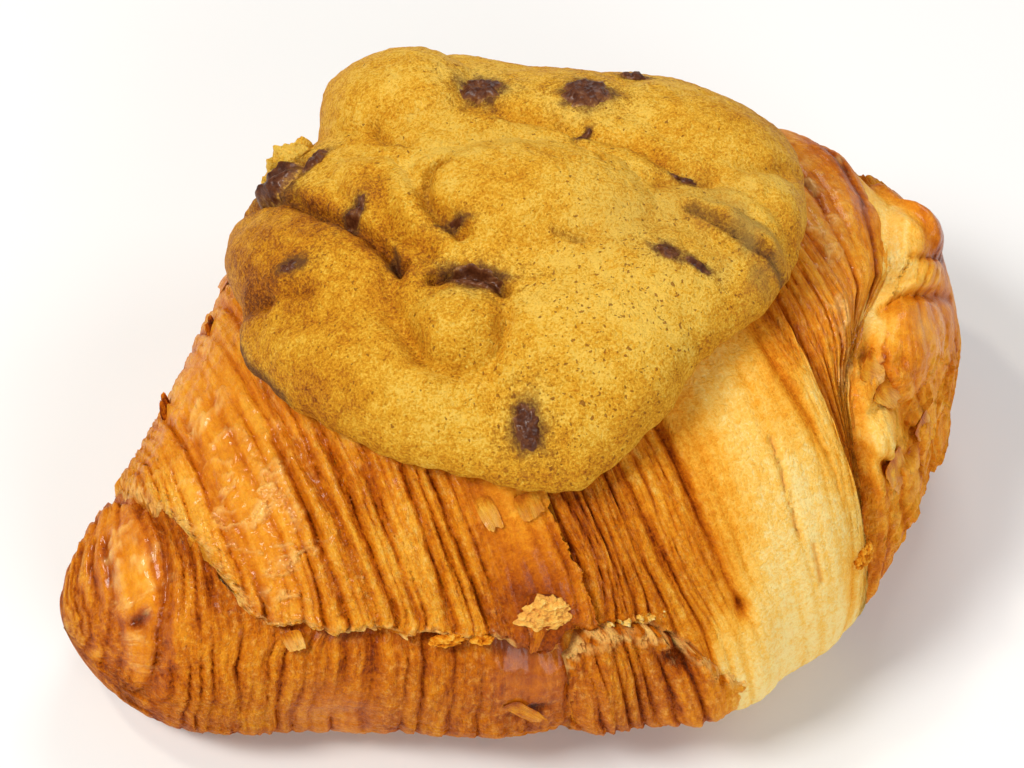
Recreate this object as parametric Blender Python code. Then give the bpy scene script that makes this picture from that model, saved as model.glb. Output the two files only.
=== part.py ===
"""Crookie: a butter croissant with a chocolate chip cookie baked onto its top.

The croissant lies along X with its front towards -Y and rests on its flat underside at z = 0.
It is one solid: a rolled core, the outer wrap of dough with its ragged front edge, a torn block
at the front and the flakes that stand off the crust.  The cookie is a second solid, draped over
the croissant's back, with its chocolate chips fused on.  Lengths below are in millimetres.
"""
import math

import bpy
import bmesh
import numpy as np
from mathutils import Vector, noise

MM = 0.001

# The croissant: its two tips, and its outline given at stations along X.
LEFT_END, RIGHT_END = -78.0, 79.0
LEFT_ROUNDING, RIGHT_ROUNDING = 13.0, 16.0
FRONT = [(-78, -16), (-66, -24.5), (-46, -36), (-20, -50), (4, -57), (26, -58.5), (38, -52.5), (57, -37.5),
         (78, -23)]
BACK = [(-78, 12), (-61, 17), (-48, 28), (-36, 39), (-20, 50), (2, 59), (20, 57), (36, 48), (52, 35),
        (64, 25), (78, 17)]
TOP = [(-78, 23), (-66, 30), (-52, 38.5), (-38, 47), (-20, 55), (0, 59), (22, 59), (40, 56), (60, 48),
       (78, 40)]
WAIST = [(-78, 13), (-50, 14), (0, 16), (40, 17), (78, 18)]
AXIS_BEHIND_MIDDLE = 3.0
FRONT_FULLNESS, BACK_FULLNESS = 0.9, 0.78
FRONT_SHOULDER, BACK_SHOULDER, UNDERSIDE = 0.95, 0.8, 0.75
UNDERSIDE_DEPTH = 1.12

# Dough layers: ridges that run round the long axis, on a gently wavy crust.
LAYER_PITCH = 2.9
GROOVE_DEPTH = 0.95
WAVINESS = 0.5
MM_PER_DEGREE = 0.87
CORE_FROM, CORE_TO, CORE_COLUMNS = -64.0, 244.0, 27

# The outer wrap: angle of its edge at stations along X, 0 at the front, 90 on top, 180 at the back.
WRAP_EDGE = [(-63, 125), (-61, 98), (-58.5, 76), (-56, 54), (-52, 43), (-45, 36), (-36, 30), (-24, 26),
             (-19, 21), (-14, 24), (-4, 22), (3, 15), (8, -20), (13, -50), (34, -50), (37, -5), (39, 22),
             (41, 42), (48, 52), (54, 62), (60, 73), (66, 90), (68.5, 120)]
WRAP_LEFT, WRAP_RIGHT = -62.5, 68.0
WRAP_BACK_EDGE, WRAP_COLUMNS = 231.0, 23
WRAP_STEP, WRAP_SPREAD = 3.0, 7.0
WRAP_THICKNESS = 6.0
WRAP_RAGGED = 2.4
# The right end swells out beyond the valley where the wrap's edge rolls in.
VALLEY_FROM = 34.0
VALLEY_DEPTH, VALLEY_HALF_WIDTH = 2.6, 4.5
LOBE_SWELL, LOBE_SLOPE = 1.6, 12.0

# The torn block at the front, below the wrap's edge.
BLOCK_LEFT, BLOCK_RIGHT = -15.5, 7.0
BLOCK_TOP = [(-16, 16), (-13, 24), (-4, 22), (2, 15), (7, 6)]
BLOCK_LOW, BLOCK_COLUMNS = -50.0, 9
BLOCK_PROUD, BLOCK_RAGGED = 2.4, 1.6

# Smooth stretches of crust: middle x, middle angle, half width in x, half width in degrees.
SMOOTH_PATCHES = [(-17, 42, 7, 18), (-50, 68, 9, 26), (22, 42, 10, 34), (52, 80, 9, 24), (24, -10, 14, 30),
                  (-46, -6, 4, 14), (-24, -4, 5, 14)]

# Standing flakes: x, angle, width, length, how far the free end lifts, turn in degrees.
FLAKES = [(-51, 36, 3.2, 5.2, 0.7, 4), (-21, 50, 2.6, 4.4, 0.6, -5), (-16, 22, 3.4, 6.5, 0.8, 12),
          (-51, 52, 8.0, 6.0, 0.8, -18), (-20, 30, 6.0, 7.5, 1.0, -20), (-14, -2, 4.6, 2.6, 0.8, 40),
          (46, 50, 4.5, 6.0, 1.0, -35), (52, 40, 5.0, 5.0, 1.0, -50), (44, 36, 4.0, 4.4, 0.9, -20),
          (-34, -8, 3.0, 3.4, 0.7, 10), (62, 56, 5.0, 4.0, 0.9, -40), (28, 8, 4.0, 4.4, 0.8, 15),
          (-34, 140, 4.5, 5.0, 0.9, 180), (18, 150, 5.5, 4.5, 0.9, 170), (50, 140, 4.5, 4.5, 0.9, 185)]
FLAKE_THICKNESS, FLAKE_ROOT, FLAKE_SINK = 0.7, 1.2, 0.8

# The cookie: outline as angle in degrees and radius round its middle.
COOKIE_MIDDLE = (6.0, 6.0)
COOKIE_OUTLINE = [(3, 45), (24, 42), (36, 38.5), (47, 35.8), (60, 36.2), (79, 42.2), (91, 46.6),
                  (105, 47.4), (120, 44.4), (140, 46.4), (159, 44), (177, 45), (190, 44), (205, 42.4),
                  (223, 41.8), (240, 42.4), (253, 42.4), (273, 38), (283, 35), (290, 34), (300, 36),
                  (313, 38.6), (330, 39.6), (348, 42)]
COOKIE_GAP = 0.45
# Section from the middle of the top round the rim to the middle underneath: share of the radius, height.
COOKIE_SECTION = [(0.10, 9.0), (0.20, 9.0), (0.30, 9.0), (0.40, 9.0), (0.50, 8.9), (0.59, 8.8), (0.68, 8.6),
                  (0.76, 8.3), (0.83, 7.9), (0.89, 7.2), (0.94, 6.2), (0.975, 4.9), (0.998, 3.4),
                  (1.0, 2.0), (0.985, 1.0), (0.955, COOKIE_GAP), (0.88, COOKIE_GAP), (0.76, COOKIE_GAP),
                  (0.62, COOKIE_GAP), (0.46, COOKIE_GAP), (0.30, COOKIE_GAP), (0.15, COOKIE_GAP)]
COOKIE_SECTORS = 64
TOP_FROM, TOP_FADE = 3.0, 4.0
# Rises and dips of the cookie's top: x, y, half width, half depth, turn in degrees, height.
COOKIE_LUMPS = [(-13.8, -11.5, 6.2, 7.2, 20, 2.6), (-28, 16, 8, 8, 0, 1.6), (-6, -26, 11, 8, 20, 1.2),
                (2.8, 10, 13, 5.5, -20, 1.9), (31, -13, 8, 6, 30, 1.8), (2, 34, 12, 6, -15, 1.6),
                (38, 8, 8, 9, 0, 1.2), (-32, -2, 7, 6, 30, 1.2), (18, -20, 8, 9, 10, 0.9),
                (22, 2, 7, 6, 0, -1.0), (14, 22, 9, 4, -15, -1.2), (-9, 24, 6, 5, 0, -1.2)]
# Creases of the cookie's top: depth, half width, then the points that they run through.
COOKIE_CREASES = [(2.4, 1.9, [(-27, 38), (-23, 27), (-21.5, 18), (-19, 12), (-17.5, 5), (-19.5, -2),
                              (-23, -6)]),
                  (2.2, 1.5, [(-15, -2), (-8.5, -2.2), (-5, -6.5), (-5.6, -11), (-8.5, -15)]),
                  (1.5, 1.6, [(-5, 18.4), (-8.4, 15), (-8, 10), (-5, 6)]),
                  (1.5, 1.6, [(25, -8), (28.6, -13.9), (34.1, -21.7)]),
                  (1.1, 1.6, [(-14.2, -19.4), (-17.1, -25.2)]),
                  (1.2, 1.8, [(18.8, 11.7), (24, 14), (23, 20)])]

# Chocolate chips that show: x, y, half length, half width, turn in degrees, how far they stand out.
CHIPS = [(10, 30.5, 3.9, 2.5, -18, 0.9), (23, 21.3, 4.4, 2.6, -20, 0.9), (32.6, 22.4, 2.4, 1.5, -35, 0.8),
         (-22.6, 36.0, 3.6, 3.0, 50, 1.3), (-17.4, 33.6, 2.8, 1.7, 60, 1.1), (-17.8, 19.4, 3.4, 1.7, 62, 0.9),
         (-28.6, 17.3, 2.4, 1.8, 30, 0.7), (-8.6, -3.6, 4.8, 1.7, -24, 1.3), (-6.8, 6.4, 2.3, 1.5, -25, 0.9),
         (28.2, -1.4, 3.0, 1.6, -20, 0.8), (18.5, -13.2, 2.2, 1.6, -25, 0.8),
         (22.2, -17.2, 2.8, 1.6, -30, 0.8), (-12.4, -27.3, 4.0, 2.4, 68, 0.9),
         (-39.2, 7.6, 4.2, 1.8, 80, 0.9)]
CHIP_SINK = 0.8

# Where the design's own origin lies from the middle of the finished piece's box.
MOVE_X, MOVE_Y = -0.5, 0.2


def clear_scene():
    for item in list(bpy.data.objects):
        bpy.data.objects.remove(item, do_unlink=True)


def material(name, colour, roughness):
    finish = bpy.data.materials.new(name)
    finish.use_nodes = True
    shader = finish.node_tree.nodes["Principled BSDF"]
    shader.inputs["Base Color"].default_value = (*colour, 1.0)
    shader.inputs["Roughness"].default_value = roughness
    shader.inputs["Metallic"].default_value = 0.0
    return finish


def crust_material():
    return material("baked_crust", (0.53, 0.17, 0.018), 0.42)


def cookie_material():
    return material("cookie_crumb", (0.70, 0.36, 0.035), 0.75)


def chocolate_material():
    return material("chocolate", (0.10, 0.035, 0.012), 0.45)


def smooth_curve(stations, softness=4.0):
    """A soft curve through stations of (place, value), as a function of the place."""
    places, values = np.array(stations, float).T
    step, reach = 0.5, 40
    grid = np.arange(places[0] - reach * step, places[-1] + (reach + 1) * step, step)
    weights = np.exp(-0.5 * (np.arange(-reach, reach + 1) * step / softness) ** 2)
    padded = np.pad(np.interp(grid, places, values), reach, mode="edge")
    soft = np.convolve(padded, weights / weights.sum(), mode="valid")
    return lambda x: np.interp(x, grid, soft)


front_line = smooth_curve(FRONT)
back_line = smooth_curve(BACK)
top_line = smooth_curve(TOP)
waist_line = smooth_curve(WAIST)
wrap_edge = smooth_curve(WRAP_EDGE, 1.2)
block_top = smooth_curve(BLOCK_TOP, 1.0)


def rounding(x):
    """Share of its full section that the croissant has near its two round tips."""
    left = np.clip((x - LEFT_END) / LEFT_ROUNDING, 0.0, 1.0)
    right = np.clip((RIGHT_END - x) / RIGHT_ROUNDING, 0.0, 1.0)
    return np.sqrt(1 - (1 - left) ** 2) * np.sqrt(1 - (1 - right) ** 2)


def axis_y(x):
    return (front_line(x) + back_line(x)) / 2 + AXIS_BEHIND_MIDDLE


def crust_point(x, degrees, inset=0.0):
    """Points of the croissant's outside, or of a surface that lies inset below it."""
    angle = np.radians(degrees)
    across, up = np.cos(angle), np.sin(angle)
    middle, waist = axis_y(x), waist_line(x)
    ahead = across > 0
    reach = np.where(ahead, front_line(x) - middle, back_line(x) - middle)
    fullness = np.where(ahead, FRONT_FULLNESS, BACK_FULLNESS)
    y = (np.abs(reach) - inset) * np.sign(reach) * np.abs(across) ** fullness
    shoulder = np.where(ahead, FRONT_SHOULDER, BACK_SHOULDER)
    above = (top_line(x) - waist - inset) * np.abs(up) ** shoulder
    below = -waist * UNDERSIDE_DEPTH * np.abs(up) ** UNDERSIDE
    z = waist + np.where(up > 0, above, below) * rounding(x)
    return np.stack([x + 0 * angle, middle + y * rounding(x), np.maximum(z, 0.0)], -1)


def crust_height(x, y):
    """Height of the croissant's smooth outside above a point of its plan."""
    middle, waist = axis_y(x), waist_line(x)
    across = (y - middle) / np.maximum(rounding(x), 0.001)
    ahead = across < 0
    reach = np.where(ahead, front_line(x) - middle, back_line(x) - middle)
    share = np.clip(across / reach, 0.0, 0.995) ** (1 / np.where(ahead, FRONT_FULLNESS, BACK_FULLNESS))
    rise = np.sqrt(1 - share ** 2) ** np.where(ahead, FRONT_SHOULDER, BACK_SHOULDER)
    return waist + (top_line(x) - waist) * rise * rounding(x)


def crust_normal(x, y, step=0.6):
    slope_x = (crust_height(x + step, y) - crust_height(x - step, y)) / (2 * step)
    slope_y = (crust_height(x, y + step) - crust_height(x, y - step)) / (2 * step)
    normal = np.stack([-slope_x, -slope_y, np.ones_like(slope_x)], -1)
    return normal / np.linalg.norm(normal, axis=-1, keepdims=True)


def from_wrap_edge(x, degrees):
    """Distance in mm from the wrap's edge, above zero on the wrap."""
    slope = (wrap_edge(x + 0.5) - wrap_edge(x - 0.5)) * MM_PER_DEGREE
    return (degrees - wrap_edge(x)) * MM_PER_DEGREE / np.sqrt(1 + slope ** 2)


def cookie_radius(degrees):
    angles, radii = np.array(COOKIE_OUTLINE, float).T
    stations = [(a + turn, r) for turn in (-360, 0, 360) for a, r in zip(angles, radii)]
    return smooth_curve(stations, 3.0)(np.mod(degrees, 360.0))


def under_cookie(x, y, margin):
    """1 under the cookie, falling to 0 over the margin outside its rim."""
    away_x, away_y = x - COOKIE_MIDDLE[0], y - COOKIE_MIDDLE[1]
    rim = cookie_radius(np.degrees(np.arctan2(away_y, away_x)))
    return np.clip(1 - (np.hypot(away_x, away_y) - rim) / margin, 0.0, 1.0)


def groove_depth(x, degrees):
    """Depth of the grooves between layers, which fade out on smooth crust and under the cookie."""
    place = crust_point(x, degrees)
    depth = np.full(np.shape(degrees), GROOVE_DEPTH)
    for middle_x, middle_angle, half_x, half_angle in SMOOTH_PATCHES:
        share = ((x - middle_x) / half_x) ** 2 + ((degrees - middle_angle) / half_angle) ** 2
        depth = depth * (1 - np.exp(-share ** 2))
    on_top = np.sin(np.radians(degrees)) > 0
    depth = depth * np.where(on_top, 1 - under_cookie(place[..., 0], place[..., 1], 3.0), 1.0)
    return depth * np.clip(place[..., 2] / 6.0, 0.0, 1.0)


def uneven(x, degrees, scale=0.09):
    """A gentle waviness of the baked dough, between about -1 and 1."""
    spots = np.broadcast(x, degrees)
    values = [noise.noise(Vector((a * scale, b * scale * MM_PER_DEGREE, 3.0))) for a, b in spots]
    return np.array(values).reshape(spots.shape)


def layer_rings(start, end):
    """Places along X for the rings of a rolled piece: a crest, a groove, a crest and so on."""
    count = 2 * int(round((end - start) / LAYER_PITCH)) + 1
    return np.linspace(start, end, count)


def grooves(xs, degrees, start):
    """Inset of every second ring, as deep as the layers are there, on the wavy crust."""
    places = xs[:, None] + 0 * degrees
    in_groove = (np.arange(len(xs)) % 2)[:, None]
    return in_groove * groove_depth(places, degrees) + WAVINESS * (uneven(places + start, degrees) + 0.6)


def skin_rings(name, rings, finish):
    """A closed body through rings of equal count, capped at both ends."""
    form = bmesh.new()
    loops = [[form.verts.new(Vector(point) * MM) for point in ring] for ring in rings]
    count = len(loops[0])
    for one, two in zip(loops[:-1], loops[1:]):
        for k in range(count):
            form.faces.new((one[k], one[(k + 1) % count], two[(k + 1) % count], two[k]))
    form.faces.new(reversed(loops[0]))
    form.faces.new(loops[-1])
    bmesh.ops.remove_doubles(form, verts=form.verts, dist=0.00001)
    bmesh.ops.dissolve_degenerate(form, edges=form.edges, dist=0.00001)
    bmesh.ops.recalc_face_normals(form, faces=form.faces)
    mesh = bpy.data.meshes.new(name)
    form.to_mesh(mesh)
    form.free()
    mesh.materials.append(finish)
    body = bpy.data.objects.new(name, mesh)
    bpy.context.scene.collection.objects.link(body)
    return body


def rolled_core(finish):
    """The rolled dough that shows at both tips and below the wrap's edge."""
    xs = layer_rings(LEFT_END + 0.2, RIGHT_END - 0.2)
    degrees = np.linspace(CORE_FROM, CORE_TO, CORE_COLUMNS)[None, :]
    places = xs[:, None]
    edge = from_wrap_edge(places, degrees)
    covered = np.where(edge > 0, 1.0, np.exp(-(edge / WRAP_SPREAD) ** 2))
    clear_of_floor = np.clip(crust_point(places, degrees)[..., 2] / 5.0, 0.0, 1.0)
    swell = LOBE_SWELL * (places > VALLEY_FROM) * (1 - covered) * np.clip(-edge / LOBE_SLOPE, 0.0, 1.0)
    inset = (WRAP_STEP * covered - swell) * clear_of_floor + grooves(xs, degrees, 0.0)
    rings = crust_point(places, degrees, inset)
    return skin_rings("croissant", rings, finish)


def torn_edge(xs, depth, fineness):
    """Raggedness of a torn edge along X, in degrees."""
    return np.array([noise.noise(Vector((x * fineness, 7.0, 1.0))) for x in xs]) * depth / MM_PER_DEGREE


def shell_rings(xs, low, high, columns, outer_inset):
    """Rings of a curved sheet of dough: over its outside and back along its inside."""
    share = np.linspace(0.0, 1.0, columns)[None, :]
    degrees = low[:, None] + (high - low)[:, None] * share
    outside = crust_point(xs[:, None], degrees, outer_inset(xs, degrees))
    back = degrees[:, ::-4]
    inside = crust_point(xs[:, None], back, np.full(back.shape, WRAP_THICKNESS))
    return np.concatenate([outside, inside], axis=1)


def outer_wrap(finish):
    """The last turn of dough, over the core from its ragged front edge to the back."""
    xs = layer_rings(WRAP_LEFT, WRAP_RIGHT)
    low = wrap_edge(xs) + torn_edge(xs, WRAP_RAGGED, 0.45)

    def outside(places, degrees):
        edge = from_wrap_edge(places[:, None], degrees)
        rolled_in = VALLEY_DEPTH * np.exp(-(edge / VALLEY_HALF_WIDTH) ** 2) * (places > VALLEY_FROM)[:, None]
        return rolled_in + grooves(places, degrees, 5.0)

    rings = shell_rings(xs, low, np.full(len(xs), WRAP_BACK_EDGE), WRAP_COLUMNS, outside)
    return skin_rings("outer_wrap", rings, finish)


def front_block(finish):
    """The short stretch of layers at the front that has burst out below the wrap."""
    xs = layer_rings(BLOCK_LEFT, BLOCK_RIGHT)
    high = block_top(xs) + torn_edge(xs, BLOCK_RAGGED, 0.7)

    def outside(places, degrees):
        ends = np.clip(np.minimum(places - BLOCK_LEFT + 1, BLOCK_RIGHT + 3 - places) / 4.0, 0.0, 1.0)
        return grooves(places, degrees, 9.0) - BLOCK_PROUD * ends[:, None]

    rings = shell_rings(xs, np.full(len(xs), BLOCK_LOW), high, BLOCK_COLUMNS, outside)
    return skin_rings("front_block", rings, finish)


def flake(number, x, degrees, width, length, lift, turn, finish):
    """A thin scale of crust, rooted in the surface, with its lower end standing off."""
    root = crust_point(np.array(x), np.array(degrees), FLAKE_SINK)
    down = crust_point(np.array(x), np.array(degrees - 4.0), FLAKE_SINK) - root
    down = Vector(down / np.linalg.norm(down))
    along = Vector((1, 0, 0)) - down * down.x
    along.normalize()
    out = down.cross(along)
    out = out if out.z >= 0 or out.y * (root[1] - float(axis_y(x))) > 0 else -out
    down, along = (down * math.cos(math.radians(turn)) + along * math.sin(math.radians(turn)),
                   along * math.cos(math.radians(turn)) - down * math.sin(math.radians(turn)))
    rings = []
    for share in (0.0, 0.5, 1.0):
        middle = Vector(root) + down * length * share + out * (lift + FLAKE_SINK) * share ** 1.5
        half = along * width * (0.5 - 0.16 * share ** 2)
        under = out * (FLAKE_THICKNESS + FLAKE_ROOT * (1 - share))
        rings.append([middle - half, middle + half, middle + half - under, middle - half - under])
    return skin_rings(f"flake_{number}", rings, finish)


def distance_to_path(x, y, path):
    """Distance of points of the plan from a line through the path's points."""
    nearest = np.full(np.shape(x), 1000.0)
    for (ax, ay), (bx, by) in zip(path[:-1], path[1:]):
        run_x, run_y = bx - ax, by - ay
        share = np.clip(((x - ax) * run_x + (y - ay) * run_y) / (run_x ** 2 + run_y ** 2), 0.0, 1.0)
        nearest = np.minimum(nearest, np.hypot(x - ax - share * run_x, y - ay - share * run_y))
    return nearest


def cookie_rise(x, y):
    """How far the cookie's top rises above, or dips below, its even thickness."""
    rise = np.zeros(np.shape(x))
    for lump_x, lump_y, half_w, half_d, turn, height in COOKIE_LUMPS:
        cosine, sine = math.cos(math.radians(turn)), math.sin(math.radians(turn))
        u = ((x - lump_x) * cosine + (y - lump_y) * sine) / half_w
        v = ((y - lump_y) * cosine - (x - lump_x) * sine) / half_d
        rise = rise + height * np.exp(-(u ** 2 + v ** 2))
    for depth, half_width, path in COOKIE_CREASES:
        rise = rise - depth * np.exp(-(distance_to_path(x, y, path) / half_width) ** 2)
    return rise


def cookie_point(x, y, height):
    """A point at a height above the croissant's smooth outside, square to it."""
    return np.stack([x, y, crust_height(x, y)], -1) + crust_normal(x, y) * np.asarray(height)[..., None]


def cookie_body(finish):
    """The cookie without its chips: a thick disc whose underside follows the croissant."""
    angles = np.linspace(0.0, 360.0, COOKIE_SECTORS, endpoint=False)
    rim = cookie_radius(angles)
    form = bmesh.new()
    loops = []
    for number, (share, height) in enumerate(COOKIE_SECTION):
        x = COOKIE_MIDDLE[0] + share * rim * np.cos(np.radians(angles))
        y = COOKIE_MIDDLE[1] + share * rim * np.sin(np.radians(angles))
        on_top = np.clip((height - TOP_FROM) / TOP_FADE, 0.0, 1.0)
        points = cookie_point(x, y, height + on_top * cookie_rise(x, y))
        loops.append([form.verts.new(Vector(point) * MM) for point in points])
    middle_x, middle_y = np.array(COOKIE_MIDDLE[0]), np.array(COOKIE_MIDDLE[1])
    crown = COOKIE_SECTION[0][1] + cookie_rise(middle_x, middle_y)
    poles = [form.verts.new(Vector(cookie_point(middle_x, middle_y, h)) * MM) for h in (crown, COOKIE_GAP)]
    for one, two in zip(loops[:-1], loops[1:]):
        for k in range(COOKIE_SECTORS):
            after = (k + 1) % COOKIE_SECTORS
            form.faces.new((one[k], two[k], two[after], one[after]))
    for k in range(COOKIE_SECTORS):
        form.faces.new((poles[0], loops[0][k], loops[0][(k + 1) % COOKIE_SECTORS]))
        form.faces.new((poles[1], loops[-1][(k + 1) % COOKIE_SECTORS], loops[-1][k]))
    bmesh.ops.recalc_face_normals(form, faces=form.faces)
    mesh = bpy.data.meshes.new("cookie")
    form.to_mesh(mesh)
    form.free()
    mesh.materials.append(finish)
    body = bpy.data.objects.new("cookie", mesh)
    bpy.context.scene.collection.objects.link(body)
    return body


def chip(number, x, y, half_length, half_width, turn, proud, finish):
    """A chocolate chip: a rounded lump, sunk into the cookie's top."""
    place_x, place_y = np.array(x), np.array(y)
    crown = COOKIE_SECTION[0][1]
    away = math.hypot(x - COOKIE_MIDDLE[0], y - COOKIE_MIDDLE[1])
    share = away / float(cookie_radius(math.degrees(math.atan2(y - COOKIE_MIDDLE[1], x - COOKIE_MIDDLE[0]))))
    shares, heights = np.array(COOKIE_SECTION[:13]).T
    surface = float(np.interp(share, shares, heights, left=crown)) + float(cookie_rise(place_x, place_y))
    thick = proud + CHIP_SINK
    centre = Vector(cookie_point(place_x, place_y, surface - CHIP_SINK))
    normal = Vector(crust_normal(place_x, place_y))
    form = bmesh.new()
    bmesh.ops.create_icosphere(form, subdivisions=2, radius=1.0)
    for vert in form.verts:
        vert.co *= 1.0 + 0.12 * noise.noise(vert.co * 1.7 + Vector((number * 3.1, 0, 0)))
    spin = Vector((math.cos(math.radians(turn)), math.sin(math.radians(turn)), 0))
    along = (spin - normal * spin.dot(normal)).normalized()
    across = normal.cross(along)
    for vert in form.verts:
        a, b, c = vert.co
        vert.co = (centre + along * a * half_length + across * b * half_width + normal * c * thick) * MM
    bmesh.ops.recalc_face_normals(form, faces=form.faces)
    mesh = bpy.data.meshes.new(f"chip_{number}")
    form.to_mesh(mesh)
    form.free()
    mesh.materials.append(finish)
    body = bpy.data.objects.new(f"chip_{number}", mesh)
    bpy.context.scene.collection.objects.link(body)
    return body


def fuse(body, additions):
    """One Boolean union of the body with a collection of additions, applied."""
    group = bpy.data.collections.new(f"{body.name}_additions")
    for piece in additions:
        group.objects.link(piece)
    union = body.modifiers.new("fuse", "BOOLEAN")
    union.operation = "UNION"
    union.operand_type = "COLLECTION"
    union.collection = group
    evaluated = body.evaluated_get(bpy.context.evaluated_depsgraph_get())
    joined = bpy.data.meshes.new_from_object(evaluated)
    body.modifiers.remove(union)
    body.data = joined
    for piece in additions:
        bpy.data.objects.remove(piece, do_unlink=True)
    bpy.data.collections.remove(group)


def drop_scraps(body):
    """Keeps the largest connected shell, with no sealed pocket or loose crumb beside it."""
    form = bmesh.new()
    form.from_mesh(body.data)
    bmesh.ops.remove_doubles(form, verts=form.verts, dist=0.00001)
    unseen = set(form.verts)
    shells = []
    while unseen:
        start = unseen.pop()
        shell, queue = {start}, [start]
        while queue:
            for edge in queue.pop().link_edges:
                for vert in edge.verts:
                    if vert in unseen:
                        unseen.remove(vert)
                        shell.add(vert)
                        queue.append(vert)
        shells.append(shell)
    shells.sort(key=len)
    for shell in shells[:-1]:
        bmesh.ops.delete(form, geom=list(shell), context="VERTS")
    bmesh.ops.triangulate(form, faces=form.faces)
    form.to_mesh(body.data)
    form.free()


def finish_body(body):
    drop_scraps(body)
    for vert in body.data.vertices:
        vert.co.x += MOVE_X * MM
        vert.co.y += MOVE_Y * MM
    body.data.shade_smooth()
    body.data.set_sharp_from_angle(angle=math.radians(40))


def build_croissant():
    crust = crust_material()
    body = rolled_core(crust)
    additions = [outer_wrap(crust), front_block(crust)]
    additions += [flake(k, *values, crust) for k, values in enumerate(FLAKES)]
    fuse(body, additions)
    finish_body(body)
    return body


def build_cookie():
    body = cookie_body(cookie_material())
    chocolate = chocolate_material()
    fuse(body, [chip(k, *values, chocolate) for k, values in enumerate(CHIPS)])
    finish_body(body)
    return body


def main():
    clear_scene()
    for body in (build_croissant(), build_cookie()):
        print(body.name, len(body.data.polygons), "triangles")


main()
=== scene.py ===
# %% [markdown]
# # A chocolate chip crookie
# A crookie is a butter croissant with a ball of cookie dough baked onto its top, so that the cookie
# melts down over the croissant's back.  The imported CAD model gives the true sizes.  Here it is
# dressed: every surface is made again with its layers, blisters, pores and chips, in millimetres,
# and moved to metres at the very end of each step.

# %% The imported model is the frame
import math

import bpy
import numpy as np
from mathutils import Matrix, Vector


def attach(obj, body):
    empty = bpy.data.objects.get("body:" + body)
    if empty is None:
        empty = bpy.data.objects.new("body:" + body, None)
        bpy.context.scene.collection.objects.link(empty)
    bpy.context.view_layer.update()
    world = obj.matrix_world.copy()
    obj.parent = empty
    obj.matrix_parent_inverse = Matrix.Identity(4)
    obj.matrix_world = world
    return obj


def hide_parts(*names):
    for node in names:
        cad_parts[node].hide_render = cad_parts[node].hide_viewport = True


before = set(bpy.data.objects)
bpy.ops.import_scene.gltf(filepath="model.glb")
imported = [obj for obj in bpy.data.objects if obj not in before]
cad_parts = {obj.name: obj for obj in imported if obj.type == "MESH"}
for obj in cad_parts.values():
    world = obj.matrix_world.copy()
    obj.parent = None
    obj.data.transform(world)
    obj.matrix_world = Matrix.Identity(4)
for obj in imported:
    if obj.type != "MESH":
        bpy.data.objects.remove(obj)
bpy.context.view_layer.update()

# %% [markdown]
# ## Camera
# The photograph looks down at the front left of the crookie with a longish lens.  The camera is
# placed by its angle round the piece, its height angle and its distance, all worked out from the
# outline of the piece in the picture.

# %% Camera at the photograph's angle
MM = 0.001
MOVE = np.array([-0.5, 0.2, 0.0])
AZIMUTH, ELEVATION = math.radians(-27), math.radians(52)
FOCAL_LENGTH, CAMERA_DISTANCE, LOOK_HEIGHT = 85, 385, 30


def to_world(points):
    """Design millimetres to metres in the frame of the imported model."""
    return (np.asarray(points, float) + MOVE) * MM


towards = Vector((math.sin(AZIMUTH) * math.cos(ELEVATION), -math.cos(AZIMUTH) * math.cos(ELEVATION),
                  math.sin(ELEVATION)))
look_at = Vector(to_world((0, 0, LOOK_HEIGHT)))
bpy.ops.object.select_all(action="DESELECT")
bpy.ops.object.camera_add(location=look_at + towards * CAMERA_DISTANCE * MM,
                          rotation=towards.to_track_quat("Z", "Y").to_euler())
camera = bpy.context.object
camera.name = "photo_camera"
camera.data.lens = FOCAL_LENGTH
camera.data.sensor_width = 36
bpy.context.scene.camera = camera
print("camera at", [round(c, 3) for c in camera.location])

# %% [markdown]
# ## Floor and light
# Food is lit softly.  A wide panel high on the left gives the main light, a small bright one beside
# it makes the sparkles on the egg wash, one in front fills the shadows, and the pale floor throws
# some light back up.


# %% Materials are built from nodes with two small helpers
def new_material(name):
    made = bpy.data.materials.new(name)
    made.use_nodes = True
    return made, made.node_tree, made.node_tree.nodes["Principled BSDF"]


def add_node(tree, kind, inputs=None, **settings):
    """A node with its settings, and each input either a plain value or a link from a socket."""
    made = tree.nodes.new(kind)
    for key, value in settings.items():
        setattr(made, key, value)
    for key, value in (inputs or {}).items():
        if isinstance(value, bpy.types.NodeSocket):
            tree.links.new(value, made.inputs[key])
        else:
            made.inputs[key].default_value = value
    return made


# %% Floor
floor_material, floor_tree, floor_shader = new_material("pale_floor")
floor_grain = add_node(floor_tree, "ShaderNodeTexNoise", {"Scale": 40.0, "Detail": 3.0})
floor_ramp = add_node(floor_tree, "ShaderNodeMapRange",
                      {"Value": floor_grain.outputs["Fac"], "To Min": 0.80, "To Max": 0.84})
floor_tree.links.new(floor_ramp.outputs["Result"], floor_shader.inputs["Base Color"])
floor_shader.inputs["Roughness"].default_value = 0.8
bpy.ops.mesh.primitive_plane_add(size=6, location=(0, 0, -0.0002))
floor = bpy.context.object
floor.name = "floor"
floor.data.materials.append(floor_material)


# %% Lights
def soft_panel(name, azimuth, elevation, distance, size, power, colour=(1, 1, 1)):
    a, e = math.radians(azimuth), math.radians(elevation)
    way = Vector((math.sin(a) * math.cos(e), -math.cos(a) * math.cos(e), math.sin(e)))
    bpy.ops.object.light_add(type="AREA", location=way * distance,
                             rotation=way.to_track_quat("Z", "Y").to_euler())
    lamp = bpy.context.object
    lamp.name = name
    lamp.data.shape = "SQUARE"
    lamp.data.size = size
    lamp.data.energy = power
    lamp.data.color = colour
    return lamp


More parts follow.
